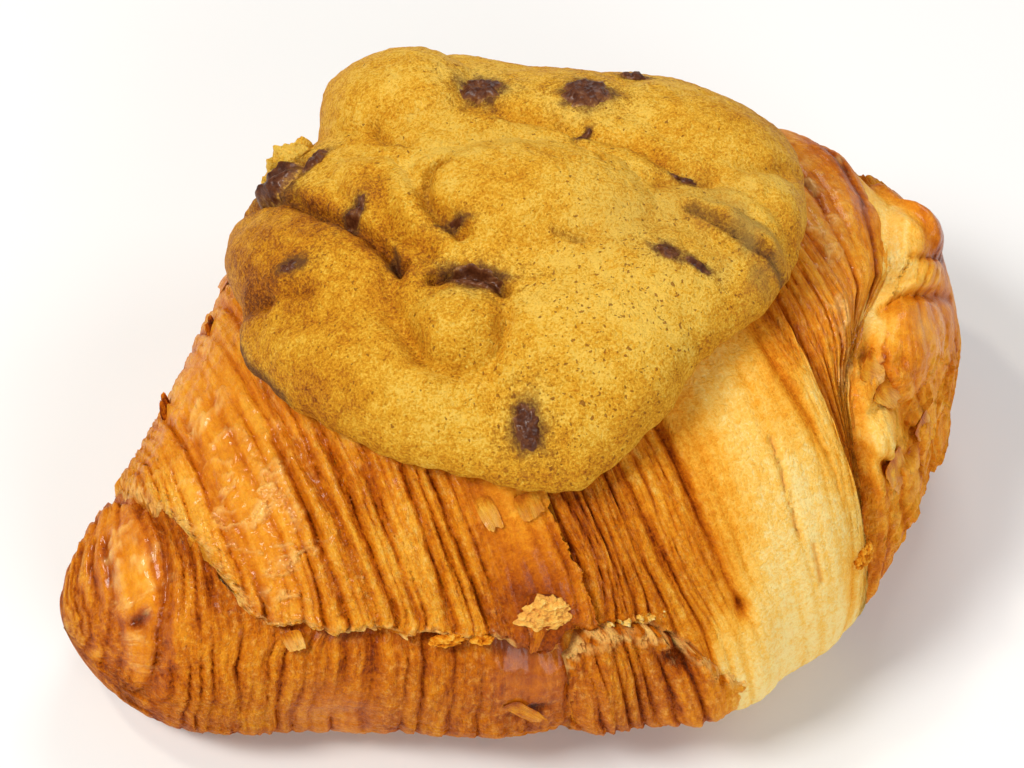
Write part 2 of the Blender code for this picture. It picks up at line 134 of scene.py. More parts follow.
soft_panel("key_panel", -95, 54, 0.8, 0.24, 4.35, (1, 0.98, 0.94))
soft_panel("spark_panel", -140, 62, 0.8, 0.07, 1.0, (1, 0.90, 0.74))
soft_panel("back_panel", 140, 44, 0.9, 0.35, 2.2)
soft_panel("right_panel", 75, 38, 1.0, 0.4, 1.6)
soft_panel("front_panel", 0, 26, 1.0, 0.5, 4.4)
world = bpy.data.worlds.new("studio")
bpy.context.scene.world = world
world.use_nodes = True
world.node_tree.nodes["Background"].inputs["Color"].default_value = (1.0, 1.0, 1.0, 1.0)
world.node_tree.nodes["Background"].inputs["Strength"].default_value = 0.20
bpy.context.scene.view_settings.view_transform = "Standard"

# %% [markdown]
# ## The shape of the croissant
# The croissant lies along X.  Smooth curves give its front, back, top and waist at each place
# along X, and one function turns a place along X and an angle round it into a point of the crust.
# Every piece of crust is laid on this one shape, just as it is in the CAD model.

# %% Smooth curves through stations
LEFT_END, RIGHT_END = -78.0, 79.0
LEFT_ROUNDING, RIGHT_ROUNDING = 13.0, 16.0
MM_PER_DEGREE = 0.87


def smooth_curve(stations, softness=4.0):
    """A soft curve through stations of (place, value), as a function of the place."""
    places, values = np.array(stations, float).T
    step, reach = 0.5, 40
    grid = np.arange(places[0] - reach * step, places[-1] + (reach + 1) * step, step)
    weights = np.exp(-0.5 * (np.arange(-reach, reach + 1) * step / softness) ** 2)
    padded = np.pad(np.interp(grid, places, values), reach, mode="edge")
    soft = np.convolve(padded, weights / weights.sum(), mode="valid")
    return lambda x: np.interp(x, grid, soft)


front_line = smooth_curve([(-78, -16), (-66, -24.5), (-46, -36), (-20, -50), (4, -57), (26, -58.5),
                           (38, -52.5), (57, -37.5), (78, -23)])
back_line = smooth_curve([(-78, 12), (-61, 17), (-48, 28), (-36, 39), (-20, 50), (2, 59), (20, 57),
                          (36, 48), (52, 35), (64, 25), (78, 17)])
top_line = smooth_curve([(-78, 23), (-66, 30), (-52, 38.5), (-38, 47), (-20, 55), (0, 59), (22, 59),
                         (40, 56), (60, 48), (78, 40)])
waist_line = smooth_curve([(-78, 13), (-50, 14), (0, 16), (40, 17), (78, 18)])
wrap_edge = smooth_curve([(-63, 125), (-61, 98), (-58.5, 76), (-56, 54), (-52, 43), (-45, 36), (-36, 30),
                          (-24, 26), (-19, 21), (-14, 24), (-4, 22), (3, 15), (8, -20), (13, -50),
                          (32.5, -50), (34.2, -5), (35.4, 20), (37.0, 34), (38.2, 43), (40.5, 49),
                          (45, 51.5), (49, 57), (53, 60), (57.5, 63), (60.5, 70), (63.8, 80), (67, 90),
                          (68.5, 120)], 0.9)


# %% A place on the crust
def rounding(x):
    left = np.clip((x - LEFT_END) / LEFT_ROUNDING, 0.0, 1.0)
    right = np.clip((RIGHT_END - x) / RIGHT_ROUNDING, 0.0, 1.0)
    return np.sqrt(1 - (1 - left) ** 2) * np.sqrt(1 - (1 - right) ** 2)


def axis_y(x):
    return (front_line(x) + back_line(x)) / 2 + 3.0


def bump_at(x, degrees, middle_x, middle_degrees, half_x, half_degrees):
    return np.exp(-((x - middle_x) / half_x) ** 2 - ((degrees - middle_degrees) / half_degrees) ** 2)


FULLER = [(71, 73, 5.5, 13, 3.8, 3.4), (11, -2, 5.5, 18, 3.2, 0.0), (3, -4, 5, 16, 2.2, 0.0),
          (-76, 0, 4.5, 30, 3.0, -1.6), (-50, -7, 6, 15, -1.3, 0.0), (-36, -7, 7, 15, -0.7, 0.0),
          (-62, 136, 4, 15, -1.5, 0.0), (69.6, 107, 3.4, 11, -3.8, 0.0), (63, 100, 4, 8, 1.4, 0.0),
          (61.2, 3, 4, 9, -1.5, 0.0), (46, 12, 5, 8, 1.3, 0.0)]


def crust_point(x, degrees, inset=0.0):
    """Points on the crust, or inset below it: angle 0 is the front, 90 the top, 180 the back."""
    for spot_x, spot_degrees, half_x, half_degrees, out, along_x in FULLER:
        near = bump_at(x, degrees, spot_x, spot_degrees, half_x, half_degrees)
        x, inset = x + along_x * near, inset - out * near
    angle = np.radians(degrees)
    across, up = np.cos(angle), np.sin(angle)
    middle, waist = axis_y(x), waist_line(x)
    ahead = across > 0
    reach = np.where(ahead, front_line(x) - middle, back_line(x) - middle)
    y = (np.abs(reach) - inset) * np.sign(reach) * np.abs(across) ** np.where(ahead, 0.9, 0.78)
    above = (top_line(x) - waist - inset) * np.abs(up) ** np.where(ahead, 0.95, 0.8)
    below = -waist * 1.12 * np.abs(up) ** 0.75
    z = waist + np.where(up > 0, above, below) * rounding(x)
    return np.stack([x + 0 * angle, middle + y * rounding(x), np.maximum(z, 0.0)], -1)


def crust_height(x, y):
    """Height of the smooth crust above a point of the plan."""
    middle, waist = axis_y(x), waist_line(x)
    across = (y - middle) / np.maximum(rounding(x), 0.001)
    ahead = across < 0
    reach = np.where(ahead, front_line(x) - middle, back_line(x) - middle)
    share = np.clip(across / reach, 0.0, 0.995) ** (1 / np.where(ahead, 0.9, 0.78))
    rise = np.sqrt(1 - share ** 2) ** np.where(ahead, 0.95, 0.8)
    return waist + (top_line(x) - waist) * rise * rounding(x)


def crust_normal(x, y, step=0.6):
    slope_x = (crust_height(x + step, y) - crust_height(x - step, y)) / (2 * step)
    slope_y = (crust_height(x, y + step) - crust_height(x, y - step)) / (2 * step)
    normal = np.stack([-slope_x, -slope_y, np.ones_like(slope_x)], -1)
    return normal / np.linalg.norm(normal, axis=-1, keepdims=True)


def from_wrap_edge(x, degrees):
    """Distance in mm from the wrap's edge, above zero on the wrap."""
    slope = (wrap_edge(x + 0.5) - wrap_edge(x - 0.5)) * MM_PER_DEGREE
    return (degrees - wrap_edge(x)) * MM_PER_DEGREE / np.sqrt(1 + slope ** 2)


# %% [markdown]
# ## Unevenness
# Baked dough is never even.  A gradient noise gives soft bumps of about -1 to 1, and two helpers
# use it: one adds finer and finer bumps, the other folds them into sharp crests like crinkled skin.

# %% Noise for the hand of the baker
SLOPES = np.random.default_rng(11).uniform(0, 2 * np.pi, (256, 256))


def ripple(u, v, seed=0):
    """Soft noise over a plane, about -1 to 1, with one bump for each unit."""
    u, v = np.broadcast_arrays(u + 17.3 * seed, v + 31.7 * seed)
    left, low = np.floor(u).astype(int), np.floor(v).astype(int)
    fu, fv = u - left, v - low

    def corner(a, b):
        angle = SLOPES[(left + a) % 256, (low + b) % 256]
        return np.cos(angle) * (fu - a) + np.sin(angle) * (fv - b)

    su = fu ** 3 * (fu * (fu * 6 - 15) + 10)
    sv = fv ** 3 * (fv * (fv * 6 - 15) + 10)
    bottom = corner(0, 0) + su * (corner(1, 0) - corner(0, 0))
    top = corner(0, 1) + su * (corner(1, 1) - corner(0, 1))
    return 1.5 * (bottom + sv * (top - bottom))


def crumple(u, v, octaves=3, seed=0):
    return sum(ripple(u * 2 ** k, v * 2 ** k, seed + 3 * k) / 2 ** k for k in range(octaves))


def crinkle(u, v, seed=0):
    """Sharp crests with soft hollows between them, 0 to 1."""
    first = 1 - np.abs(ripple(u, v, seed)) * 1.6
    second = 1 - np.abs(ripple(u * 2.1, v * 2.1, seed + 5)) * 1.6
    return np.clip(0.65 * first + 0.35 * second, 0, 1) ** 2


def step_up(value, start, end):
    share = np.clip((value - start) / (end - start), 0, 1)
    return share * share * (3 - 2 * share)


def lobes_over(x, y, lobes, power=5):
    """Height of a group of domes over ovals, where the higher one wins."""
    highest = np.full(np.shape(x), 0.4 ** power)
    for middle_x, middle_y, half_w, half_d, turn, height, fullness in lobes:
        cosine, sine = math.cos(math.radians(turn)), math.sin(math.radians(turn))
        u = ((x - middle_x) * cosine + (y - middle_y) * sine) / half_w
        v = ((y - middle_y) * cosine - (x - middle_x) * sine) / half_d
        highest = highest + (height * np.clip(1 - u ** 2 - v ** 2, 0, 1) ** fullness) ** power
    return highest ** (1 / power) - 0.4


def blend_spots(x, degrees, ground, spots):
    """A value that is the ground's, and near each spot the spot's own."""
    total, weight = np.full(np.shape(x), 0.25 * ground), np.full(np.shape(x), 0.25)
    for spot_x, spot_degrees, half_x, half_degrees, value in spots:
        share = ((x - spot_x) / half_x) ** 2 + ((degrees - spot_degrees) / half_degrees) ** 2
        near = np.exp(-share)
        total, weight = total + near * value, weight + near
    return total / weight


# %% [markdown]
# ## Layers
# Butter and dough are rolled up in many turns, and the oven opens them into ridges that run round
# the croissant.  Lines drawn over the crust say where chosen layers run, and between them every
# point gets its place in the pile of layers.  Grooves are then cut at uneven places of that pile:
# deep ones between the ridges, and fine ones between the leaves of one ridge.

# %% Where the layers run
LAYER_LINES = {
    -78: [(0, -78)], -75: [(2, -76.6), (61, -76.6), (98, -74.7), (117, -71.7)],
    -71: [(2, -73.3), (20, -73.2), (66, -71.5), (84, -69.9), (100, -68.2), (120, -66)],
    -65: [(2, -71.8), (29, -69.1), (53, -66.1), (76, -62.2), (88, -60.5), (120, -59.5)],
    -62: [(1, -67.5), (20, -66.3), (56, -62.9), (78, -59.6), (100, -58), (120, -57.5)],
    -54: [(0, -60.4), (29, -58.3), (46, -55), (63, -53.6), (81, -53), (92, -52.4), (138, -52.4)],
    -39: [(2, -46.3), (19, -44.4), (31, -42.7), (36, -39.4), (50, -39), (76, -39), (120, -38.5)],
    -33: [(-2, -37.8), (15, -36.7), (27, -35.5), (34, -33.3), (54, -33.1), (69, -32.6), (120, -31.5)],
    -29: [(0, -34.2), (14, -32.7), (26, -31), (30, -29.2), (44, -28.7), (66, -27.8), (120, -26.5)],
    -25: [(2, -29.9), (15, -28.3), (26, -26.3), (29, -25), (61, -24.6), (120, -23.5)],
    -20: [(0, -24), (15, -22.5), (28, -20.5), (90, -19.5)],
    -10.5: [(0, -11.4), (11, -11), (22, -10.6), (28, -9.6), (38, -8.8), (50, -9.8), (90, -11)],
    -4: [(-7, -4.7), (8, -5.1), (20, -5.1), (30, -4.5), (50, -4.8), (90, -5)],
    1.5: [(-10, 3.5), (2, 3), (19, 2.5), (34, -0.1), (50, -0.8), (90, -1)],
    8: [(0, 13), (15, 12), (27, 9.5), (43, 8.4), (60, 8)], 23: [(-20, 25), (0, 24), (30, 22), (60, 23)],
    31: [(0, 32.5), (15, 33), (25, 34), (40, 34.5), (55, 33), (68, 31), (90, 28.5)],
    37: [(0, 33.6), (15, 34.2), (25, 35.2), (38, 36.2), (46, 36.8), (56, 38), (65, 38), (90, 38), (120, 40)],
    46: [(0, 34), (15, 34.8), (25, 35.8), (38, 36.9), (48, 39), (55, 44), (64, 47), (78, 46.4), (98, 47),
         (120, 48)],
    54: [(0, 34.4), (15, 35.3), (30, 36.7), (45, 38.6), (50, 41), (56, 47.5), (60, 53), (65, 59), (72, 61),
         (80, 63.8), (88, 67), (120, 68.5)],
    79: [(0, 79)]}


def layer_place(x, degrees):
    """Place in the pile of layers, in mm, which follows the layer lines."""
    marks = list(LAYER_LINES)
    lines = [np.interp(degrees, *np.array(stations, float).T) for stations in LAYER_LINES.values()]
    place = np.full(np.shape(x), float(marks[0]))
    for mark, after, line, line_after in zip(marks[:-1], marks[1:], lines[:-1], lines[1:]):
        place = place + (after - mark) * np.clip((x - line) / (line_after - line), 0, 1)
    return place


def layer_edges(pitches, seed):
    """Uneven places of the grooves; pitches gives the mean spacing along the pile."""
    random = np.random.default_rng(seed)
    spacing = smooth_curve(pitches, 1.0)
    edges = [-82.0]
    while edges[-1] < 84:
        edges.append(edges[-1] + float(spacing(edges[-1])) * random.uniform(0.6, 1.45))
    return np.array(edges)


# %% Ridges and grooves of a pile
def ridges(place, around, edges, seed):
    """Roundness of a ridge, notch between ridges, lean of the ridge and tone of its layer."""
    wandering = place + 0.7 * ripple(place * 0.1, around * 0.03, seed) \
        + 0.28 * ripple(place * 0.45, around * 0.11, seed + 1) + 0.08 * ripple(place, around * 0.7, seed + 6)
    number = np.clip(np.searchsorted(edges, wandering), 1, len(edges) - 1)
    before, after = edges[number - 1], edges[number]
    across = np.clip((wandering - before) / (after - before), 0, 1)
    nearest = np.where(across < 0.5, number - 1, number)
    strength = np.clip(0.62 + 1.0 * ripple(nearest * 3.7, around * 0.05, seed + 2), 0.05, 1)
    notch = np.exp(-((wandering - edges[nearest]) / (0.10 * (after - before) + 0.20)) ** 2) * strength
    crown = 1 - np.abs(2 * across - 1) ** 2.4 * strength
    return crown, notch, across - 0.5, ripple(number * 5.1, around * 0.06, seed + 4)


def layered(place, around, pitches, seed, deep=1.0, dark=1.0):
    """Relief of the pile in mm inwards, how much darker it is, and where its crests are."""
    crown, notch, lean, tone = ridges(place, around, layer_edges(pitches, seed), seed)
    leaf_pitches = [(mark, 0.40 * pitch) for mark, pitch in pitches]
    leaf, slit, leaf_lean, leaf_tone = ridges(place, around, layer_edges(leaf_pitches, seed + 50), seed + 50)
    relief = deep * (0.70 * (1 - crown) + 0.42 * notch - 0.40 * lean + 0.25 * (1 - leaf) + 0.22 * slit
                     - 0.15 * leaf_lean)
    # Grooves darker and crowns lighter: partly a deeper bake, partly painted shade in the grooves and painted
    # light on the crowns.
    shade = dark * (0.20 * notch + 0.12 * slit - 0.20 * (crown - 0.6) - 0.06 * (leaf - 0.6)) \
        + 0.09 * tone + 0.07 * leaf_tone
    return relief, shade, np.clip(crown * 0.7 + leaf * 0.3 - notch - 0.5 * slit, 0, 1)


def terraces(x, around, seed):
    """Flaky steps with ragged edges, in mm outwards."""
    level = 2.6 * crumple(x * 0.10, around * 0.08, 2, seed) + 0.30 * ripple(x * 0.7, around * 0.7, seed + 5) \
        + 0.14 * ripple(x * 1.7, around * 1.7, seed + 6)
    part = level - np.floor(level)
    return np.floor(level) * 0.5 + 0.5 * step_up(part, 0.0, 0.16) - 0.35 * part


# %% Blistered skin
def blisters(x, around, zone, seed):
    """Patches of lifted skin inside a zone, and the sharp crinkles on them."""
    bend_x = x + 1.5 * ripple(x * 0.25, around * 0.2, seed + 7)
    bend_around = around + 1.5 * ripple(x * 0.25, around * 0.2, seed + 8)
    patch = step_up(crumple(bend_x * 0.25, bend_around * 0.2, 3, seed) + 1.2 * zone - 0.42, 0.0, 0.5) * zone
    lines = 1 - np.abs(ripple(bend_x * 0.26 + bend_around * 0.09, bend_around * 0.16, seed + 9)) * 2.2
    fine = 1 - np.abs(ripple(bend_x * 0.7, bend_around * 0.5 + 0.2 * bend_x, seed + 10)) * 2.0
    finest = 1 - np.abs(ripple(bend_x * 1.3 + 0.3 * bend_around, bend_around * 0.8, seed + 11)) * 2.0
    crests = np.clip(0.55 * lines + 0.32 * fine + 0.24 * finest, 0, 1) ** 2.2
    return patch, crests


# %% [markdown]
# ## The finish of the crust
# Croissant crust runs through one row of colours as it bakes: cream, gold, amber, brown.  Each
# point of a piece carries how far it is baked, how glossy it is, and whether its skin is milk-pale,
# stained or crumbly.  The bake value also carries painted shade in the grooves, pits and folds and
# under the wrap's edge, and painted light on the crowns of the ridges; the milk-pale skin is laid
# mostly on the crests of its crinkles and is partly a painted highlight there.  The nodes turn
# that into colour and add the fine strands and the grain.

# %% Small helpers for the nodes
def colour_ramp(tree, value, stops):
    ramp = add_node(tree, "ShaderNodeValToRGB", {"Fac": value})
    elements = ramp.color_ramp.elements
    while len(elements) < len(stops):
        elements.new(0.5)
    for element, (place, colour) in zip(elements, stops):
        element.position = place
        element.color = (*colour, 1)
    return ramp.outputs["Color"]


def attribute(tree, name):
    return add_node(tree, "ShaderNodeAttribute", attribute_name=name).outputs["Fac"]


def maths(tree, operation, one, two):
    made = add_node(tree, "ShaderNodeMath", {0: one, 1: two}, operation=operation)
    return made.outputs["Value"]


def noise_at(tree, vector, scale, detail=2.0, roughness=0.5):
    """Noise that swings round 0 instead of 0.5."""
    made = add_node(tree, "ShaderNodeTexNoise",
                    {"Vector": vector, "Scale": scale, "Detail": detail, "Roughness": roughness})
    return maths(tree, "SUBTRACT", made.outputs["Fac"], 0.5)


def weighted(tree, base, *terms):
    """Base plus each term's socket times its weight."""
    total = base
    for socket, weight in terms:
        total = maths(tree, "ADD", maths(tree, "MULTIPLY", socket, weight), total)
    return total


def mix_colour(tree, factor, one, two):
    made = add_node(tree, "ShaderNodeMix", data_type="RGBA", clamp_factor=True)
    for key, value in ((0, factor), (6, one), (7, two)):
        if isinstance(value, bpy.types.NodeSocket):
            tree.links.new(value, made.inputs[key])
        else:
            made.inputs[key].default_value = value if key == 0 else (*value, 1)
    return made.outputs[2]


# %% Crust material
BAKED_COLOURS = [(0.00, (0.90, 0.68, 0.26)), (0.14, (0.89, 0.53, 0.105)), (0.30, (0.85, 0.39, 0.034)),
                 (0.45, (0.73, 0.255, 0.010)), (0.60, (0.57, 0.150, 0.003)), (0.75, (0.38, 0.075, 0.0012)),
                 (0.88, (0.20, 0.030, 0.001)), (1.00, (0.07, 0.014, 0.003))]


def crust_material(name, milky_highlight_colour=(0.95, 0.58, 0.17)):
    finish, tree, shader = new_material(name)
    where = add_node(tree, "ShaderNodeTexCoord").outputs["Object"]
    run = add_node(tree, "ShaderNodeCombineXYZ",
                   {"X": attribute(tree, "layer"), "Y": attribute(tree, "around")})
    stretched = add_node(tree, "ShaderNodeMapping",
                         {"Vector": run.outputs["Vector"], "Scale": (1.9, 0.16, 1)})
    narrow = add_node(tree, "ShaderNodeMapping", {"Vector": run.outputs["Vector"], "Scale": (4.2, 0.35, 1)})
    strands = weighted(tree, 0.0, (noise_at(tree, stretched.outputs["Vector"], 1.0, 4.0, 0.65), 1.0),
                       (noise_at(tree, narrow.outputs["Vector"], 1.0, 3.0, 0.6), 0.5))
    strands = maths(tree, "MULTIPLY", strands, attribute(tree, "ridged"))
    grain = noise_at(tree, where, 2300.0, 3.0, 0.65)
    mottle = noise_at(tree, where, 620.0, 3.0, 0.6)
    flecked = add_node(tree, "ShaderNodeMapping", {"Vector": run.outputs["Vector"], "Scale": (1.5, 0.55, 1),
                                                   "Location": (31, 7, 0)})
    fleck = weighted(tree, 0.0, (noise_at(tree, flecked.outputs["Vector"], 1.0, 5.0, 0.75), 1.0),
                     (grain, 0.35))
    fleck = add_node(tree, "ShaderNodeMapRange", {"Value": fleck, "From Min": 0.0, "From Max": 0.14})
    fleck = maths(tree, "MULTIPLY", fleck.outputs["Result"], attribute(tree, "crest"))
    gloss = attribute(tree, "gloss")
    matt = weighted(tree, 1.0, (gloss, -0.8))
    baked = weighted(tree, attribute(tree, "baked"), (strands, 0.44),
                     (maths(tree, "MULTIPLY", grain, matt), 0.66),
                     (mottle, 0.36), (fleck, -0.16))
    colour = colour_ramp(tree, baked, BAKED_COLOURS)
    colour = mix_colour(tree, maths(tree, "MULTIPLY", fleck, 0.22), colour, (0.97, 0.58, 0.20))
    # Milk-pale lifted skin, strongest on the crests of the crinkles, where it is partly a painted highlight.
    milky_and_highlight = weighted(tree, -0.08, (attribute(tree, "milky_and_highlight"), 1.0), (grain, 0.35))
    colour = mix_colour(tree, milky_and_highlight, colour, milky_highlight_colour)
    colour = mix_colour(tree, attribute(tree, "stained"), colour, (0.24, 0.070, 0.032))
    crumbly = weighted(tree, -0.1, (attribute(tree, "crumbly"), 1.1), (mottle, 0.9))
    colour = mix_colour(tree, maths(tree, "MULTIPLY", crumbly,
                                    maths(tree, "GREATER_THAN", attribute(tree, "crumbly"), 0.05)),
                        colour, (0.92, 0.54, 0.15))
    tree.links.new(colour, shader.inputs["Base Color"])
    rough = add_node(tree, "ShaderNodeMapRange", {"Value": gloss, "To Min": 0.60, "To Max": 0.22})
    tree.links.new(weighted(tree, rough.outputs["Result"], (mottle, 0.35)), shader.inputs["Roughness"])
    glaze = add_node(tree, "ShaderNodeMapRange",
                     {"Value": weighted(tree, gloss, (mottle, 0.5)), "From Min": 0.42,
                                                  "From Max": 1.0, "To Min": 0.0, "To Max": 0.40})
    tree.links.new(glaze.outputs["Result"], shader.inputs["Coat Weight"])
    shader.inputs["Coat Roughness"].default_value = 0.13
    coarse = add_node(tree, "ShaderNodeBump",
                      {"Height": weighted(tree, 0.0, (strands, 0.8), (mottle, 0.5)), "Distance": 0.6 * MM})
    fine = add_node(tree, "ShaderNodeBump", {
        "Height": weighted(tree, 0.0, (maths(tree, "MULTIPLY", grain, matt), 1.0), (fleck, 0.12)),
        "Distance": 0.45 * MM, "Normal": coarse.outputs["Normal"]})
    tree.links.new(fine.outputs["Normal"], shader.inputs["Normal"])
    shader.inputs["Specular IOR Level"].default_value = 0.06
    shader.inputs["Subsurface Weight"].default_value = 0.08
    shader.inputs["Subsurface Radius"].default_value = (1.0, 0.4, 0.12)
    shader.inputs["Subsurface Scale"].default_value = 1.2 * MM
    return finish


crust_finish = crust_material("baked_crust")


# %% [markdown]
# ## Sheets of dough from a grid
# A flat grid is added, and its points are moved in code, as a sculptor would, to a rolled sheet:
# its long sides meet under the piece and are merged, and its two ends are filled.  That gives a
# closed body whose rows run round the croissant and whose columns run along it.

# %% Rolling a grid into a closed body
def new_grid(name, columns, rows):
    bpy.ops.object.select_all(action="DESELECT")
    bpy.ops.mesh.primitive_grid_add(x_subdivisions=columns, y_subdivisions=rows, size=2)
    piece = bpy.context.object
    piece.name = piece.data.name = name
    flat = np.empty(len(piece.data.vertices) * 3)
    piece.data.vertices.foreach_get("co", flat)
    flat = flat.reshape(-1, 3)
    return piece, (flat[:, 0] + 1) / 2, (flat[:, 1] + 1) / 2


def place_points(piece, points):
    piece.data.vertices.foreach_set("co", to_world(points).ravel())
    piece.data.update()


CRUST_VALUES = ("layer", "around", "ridged", "crest", "baked", "milky_and_highlight", "stained", "crumbly", "gloss")


def write_values(piece, values):
    for name, value in values.items():
        field = piece.data.attributes.new(name, "FLOAT", "POINT")
        field.data.foreach_set("value", np.broadcast_to(value, len(piece.data.vertices)).astype(np.float32))


def close_up(piece, sharp_degrees=60):
    """Merges the meeting sides, fills the open ends and shades smooth."""
    bpy.ops.object.mode_set(mode="EDIT")
    bpy.ops.mesh.select_mode(type="VERT")
    bpy.ops.mesh.select_all(action="SELECT")
    bpy.ops.mesh.remove_doubles(threshold=0.000004)
    bpy.ops.mesh.select_all(action="DESELECT")
    bpy.ops.mesh.select_non_manifold()
    bpy.ops.mesh.fill_holes(sides=0)
    bpy.ops.mesh.select_all(action="SELECT")
    bpy.ops.mesh.normals_make_consistent(inside=False)
    bpy.ops.object.mode_set(mode="OBJECT")
    bpy.ops.object.shade_smooth_by_angle(angle=math.radians(sharp_degrees))


def finish_piece(piece, finish, slot, *nodes):
    piece.data.materials.append(finish)
    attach(piece, "root")
    if nodes:
        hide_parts(*nodes)
    print(piece.name, len(piece.data.polygons), "faces")


def crust_values(x, degrees, relief):
    """The values that the crust's nodes read, with none of a thing where the relief names none."""
    made = {name: 0 * x for name in CRUST_VALUES}
    made.update({name: value for name, value in relief.items() if name in CRUST_VALUES})
    return made


# %% [markdown]
# ## The rolled core
# The core is the rolled dough that shows at both tips and below the ragged edge of the outer wrap.
# Its relief is a function of the place on the crust, so that flakes can later ask how high the
# crust is where they grow from.

# %% Lines over the crust
def distance_to_path(x, y, path):
    """How far points of a flat plan are from a line through points."""
    nearest = np.full(np.shape(x), 1000.0)
    for (ax, ay), (bx, by) in zip(path[:-1], path[1:]):
        run_x, run_y = bx - ax, by - ay
        part = np.clip(((x - ax) * run_x + (y - ay) * run_y) / (run_x ** 2 + run_y ** 2), 0.0, 1.0)
        nearest = np.minimum(nearest, np.hypot(x - ax - part * run_x, y - ay - part * run_y))
    return nearest


def near_path(x, degrees, path, width):
    """1 on a line through points of (x, degrees), falling to 0 beside it."""
    flat = [(path_x, path_degrees * MM_PER_DEGREE) for path_x, path_degrees in path]
    return np.exp(-(distance_to_path(x, degrees * MM_PER_DEGREE, flat) / width) ** 2)


# %% Core: the lobes of the right end and the folds of the left tip
END_LOBES = [(69.5, 64, 5.2, 11.0, 8, 3.2, 0.7), (55.5, 38.5, 9.0, 11.0, -14, 4.3, 0.62),
             (43.0, 29.6, 4.6, 5.4, 0, 2.9, 0.7), (50.0, 15, 10.0, 8.0, 0, 1.2, 0.9),
             (60.0, 80, 5.0, 6.0, 0, 0.9, 0.8), (64.0, 50, 6.0, 5.0, -10, 2.9, 0.9)]
END_FOLDS = [(-1.2, 1.5, [(66.5, 84), (65.0, 79), (63.5, 74), (60.5, 65)]),
             (-1.5, 1.5, [(60, 58), (55, 60.5), (51, 59), (48.6, 54), (48.2, 48)]),
             (0.9, 1.1, [(59.5, 67), (62.5, 65), (66.5, 62.5), (71, 58)]),
             (1.2, 1.3, [(52.5, 56), (57, 57), (62, 54), (66.5, 49), (70, 43)]),
             (0.3, 0.5, [(49.8, 46), (52.2, 38), (54.6, 29), (54.9, 22)]),
             (0.9, 1.2, [(46, 50), (47.3, 42), (48.8, 34), (50, 26), (51, 14)]),
             (1.2, 0.9, [(38, 36), (42, 27.5), (48, 24)])]
TIP_FOLDS = [(1.0, 0.9, [(-68.2, 102), (-69.9, 84), (-71.5, 66), (-72.7, 40), (-73.2, 20), (-73.3, 0),
                         (-72, -15)]),
             (1.3, 0.9, [(-59.5, 110), (-60.5, 88), (-62.2, 76), (-66.1, 53), (-69.1, 29), (-71.8, 2)]),
             (-0.7, 0.9, [(-59.0, 100), (-61.2, 74), (-64.4, 56), (-67.6, 32), (-70, 8)]),
             (0.8, 0.6, [(-71.7, 117), (-74.7, 98), (-76.0, 61), (-76.0, 2)]),
             (0.8, 0.6, [(-69.8, 108), (-72.5, 87), (-74.0, 59), (-74.4, 11)])]


def folds_at(x, degrees, folds):
    """Grooves in mm inwards along the folds, or rolls outwards where their depth is below zero."""
    bent_x = x + 0.35 * ripple(x * 0.4, degrees * 0.2, 81)
    bent_degrees = degrees + 0.8 * ripple(x * 0.3, degrees * 0.15, 82)
    return sum(depth * near_path(bent_x, bent_degrees, path, width) for depth, width, path in folds)


def right_end_swell(x, degrees):
    """How far the lobes beyond the valley stand out, in mm."""
    return lobes_over(x, degrees * MM_PER_DEGREE, END_LOBES, 4) - folds_at(x, degrees, END_FOLDS) \
        - 1.8 * bump_at(x, degrees, 65, 12, 6, 14)


# %% Core: relief
bottom_scallops = smooth_curve([(-70, 0.3), (-62, -0.3), (-54, 0.6), (-47, 1.3), (-40, 0.6), (-34, -0.4),
                                (-24, -0.6), (-19, 0.4), (-13, 1.6), (-7, 0.4), (0, 0)], 1.5)


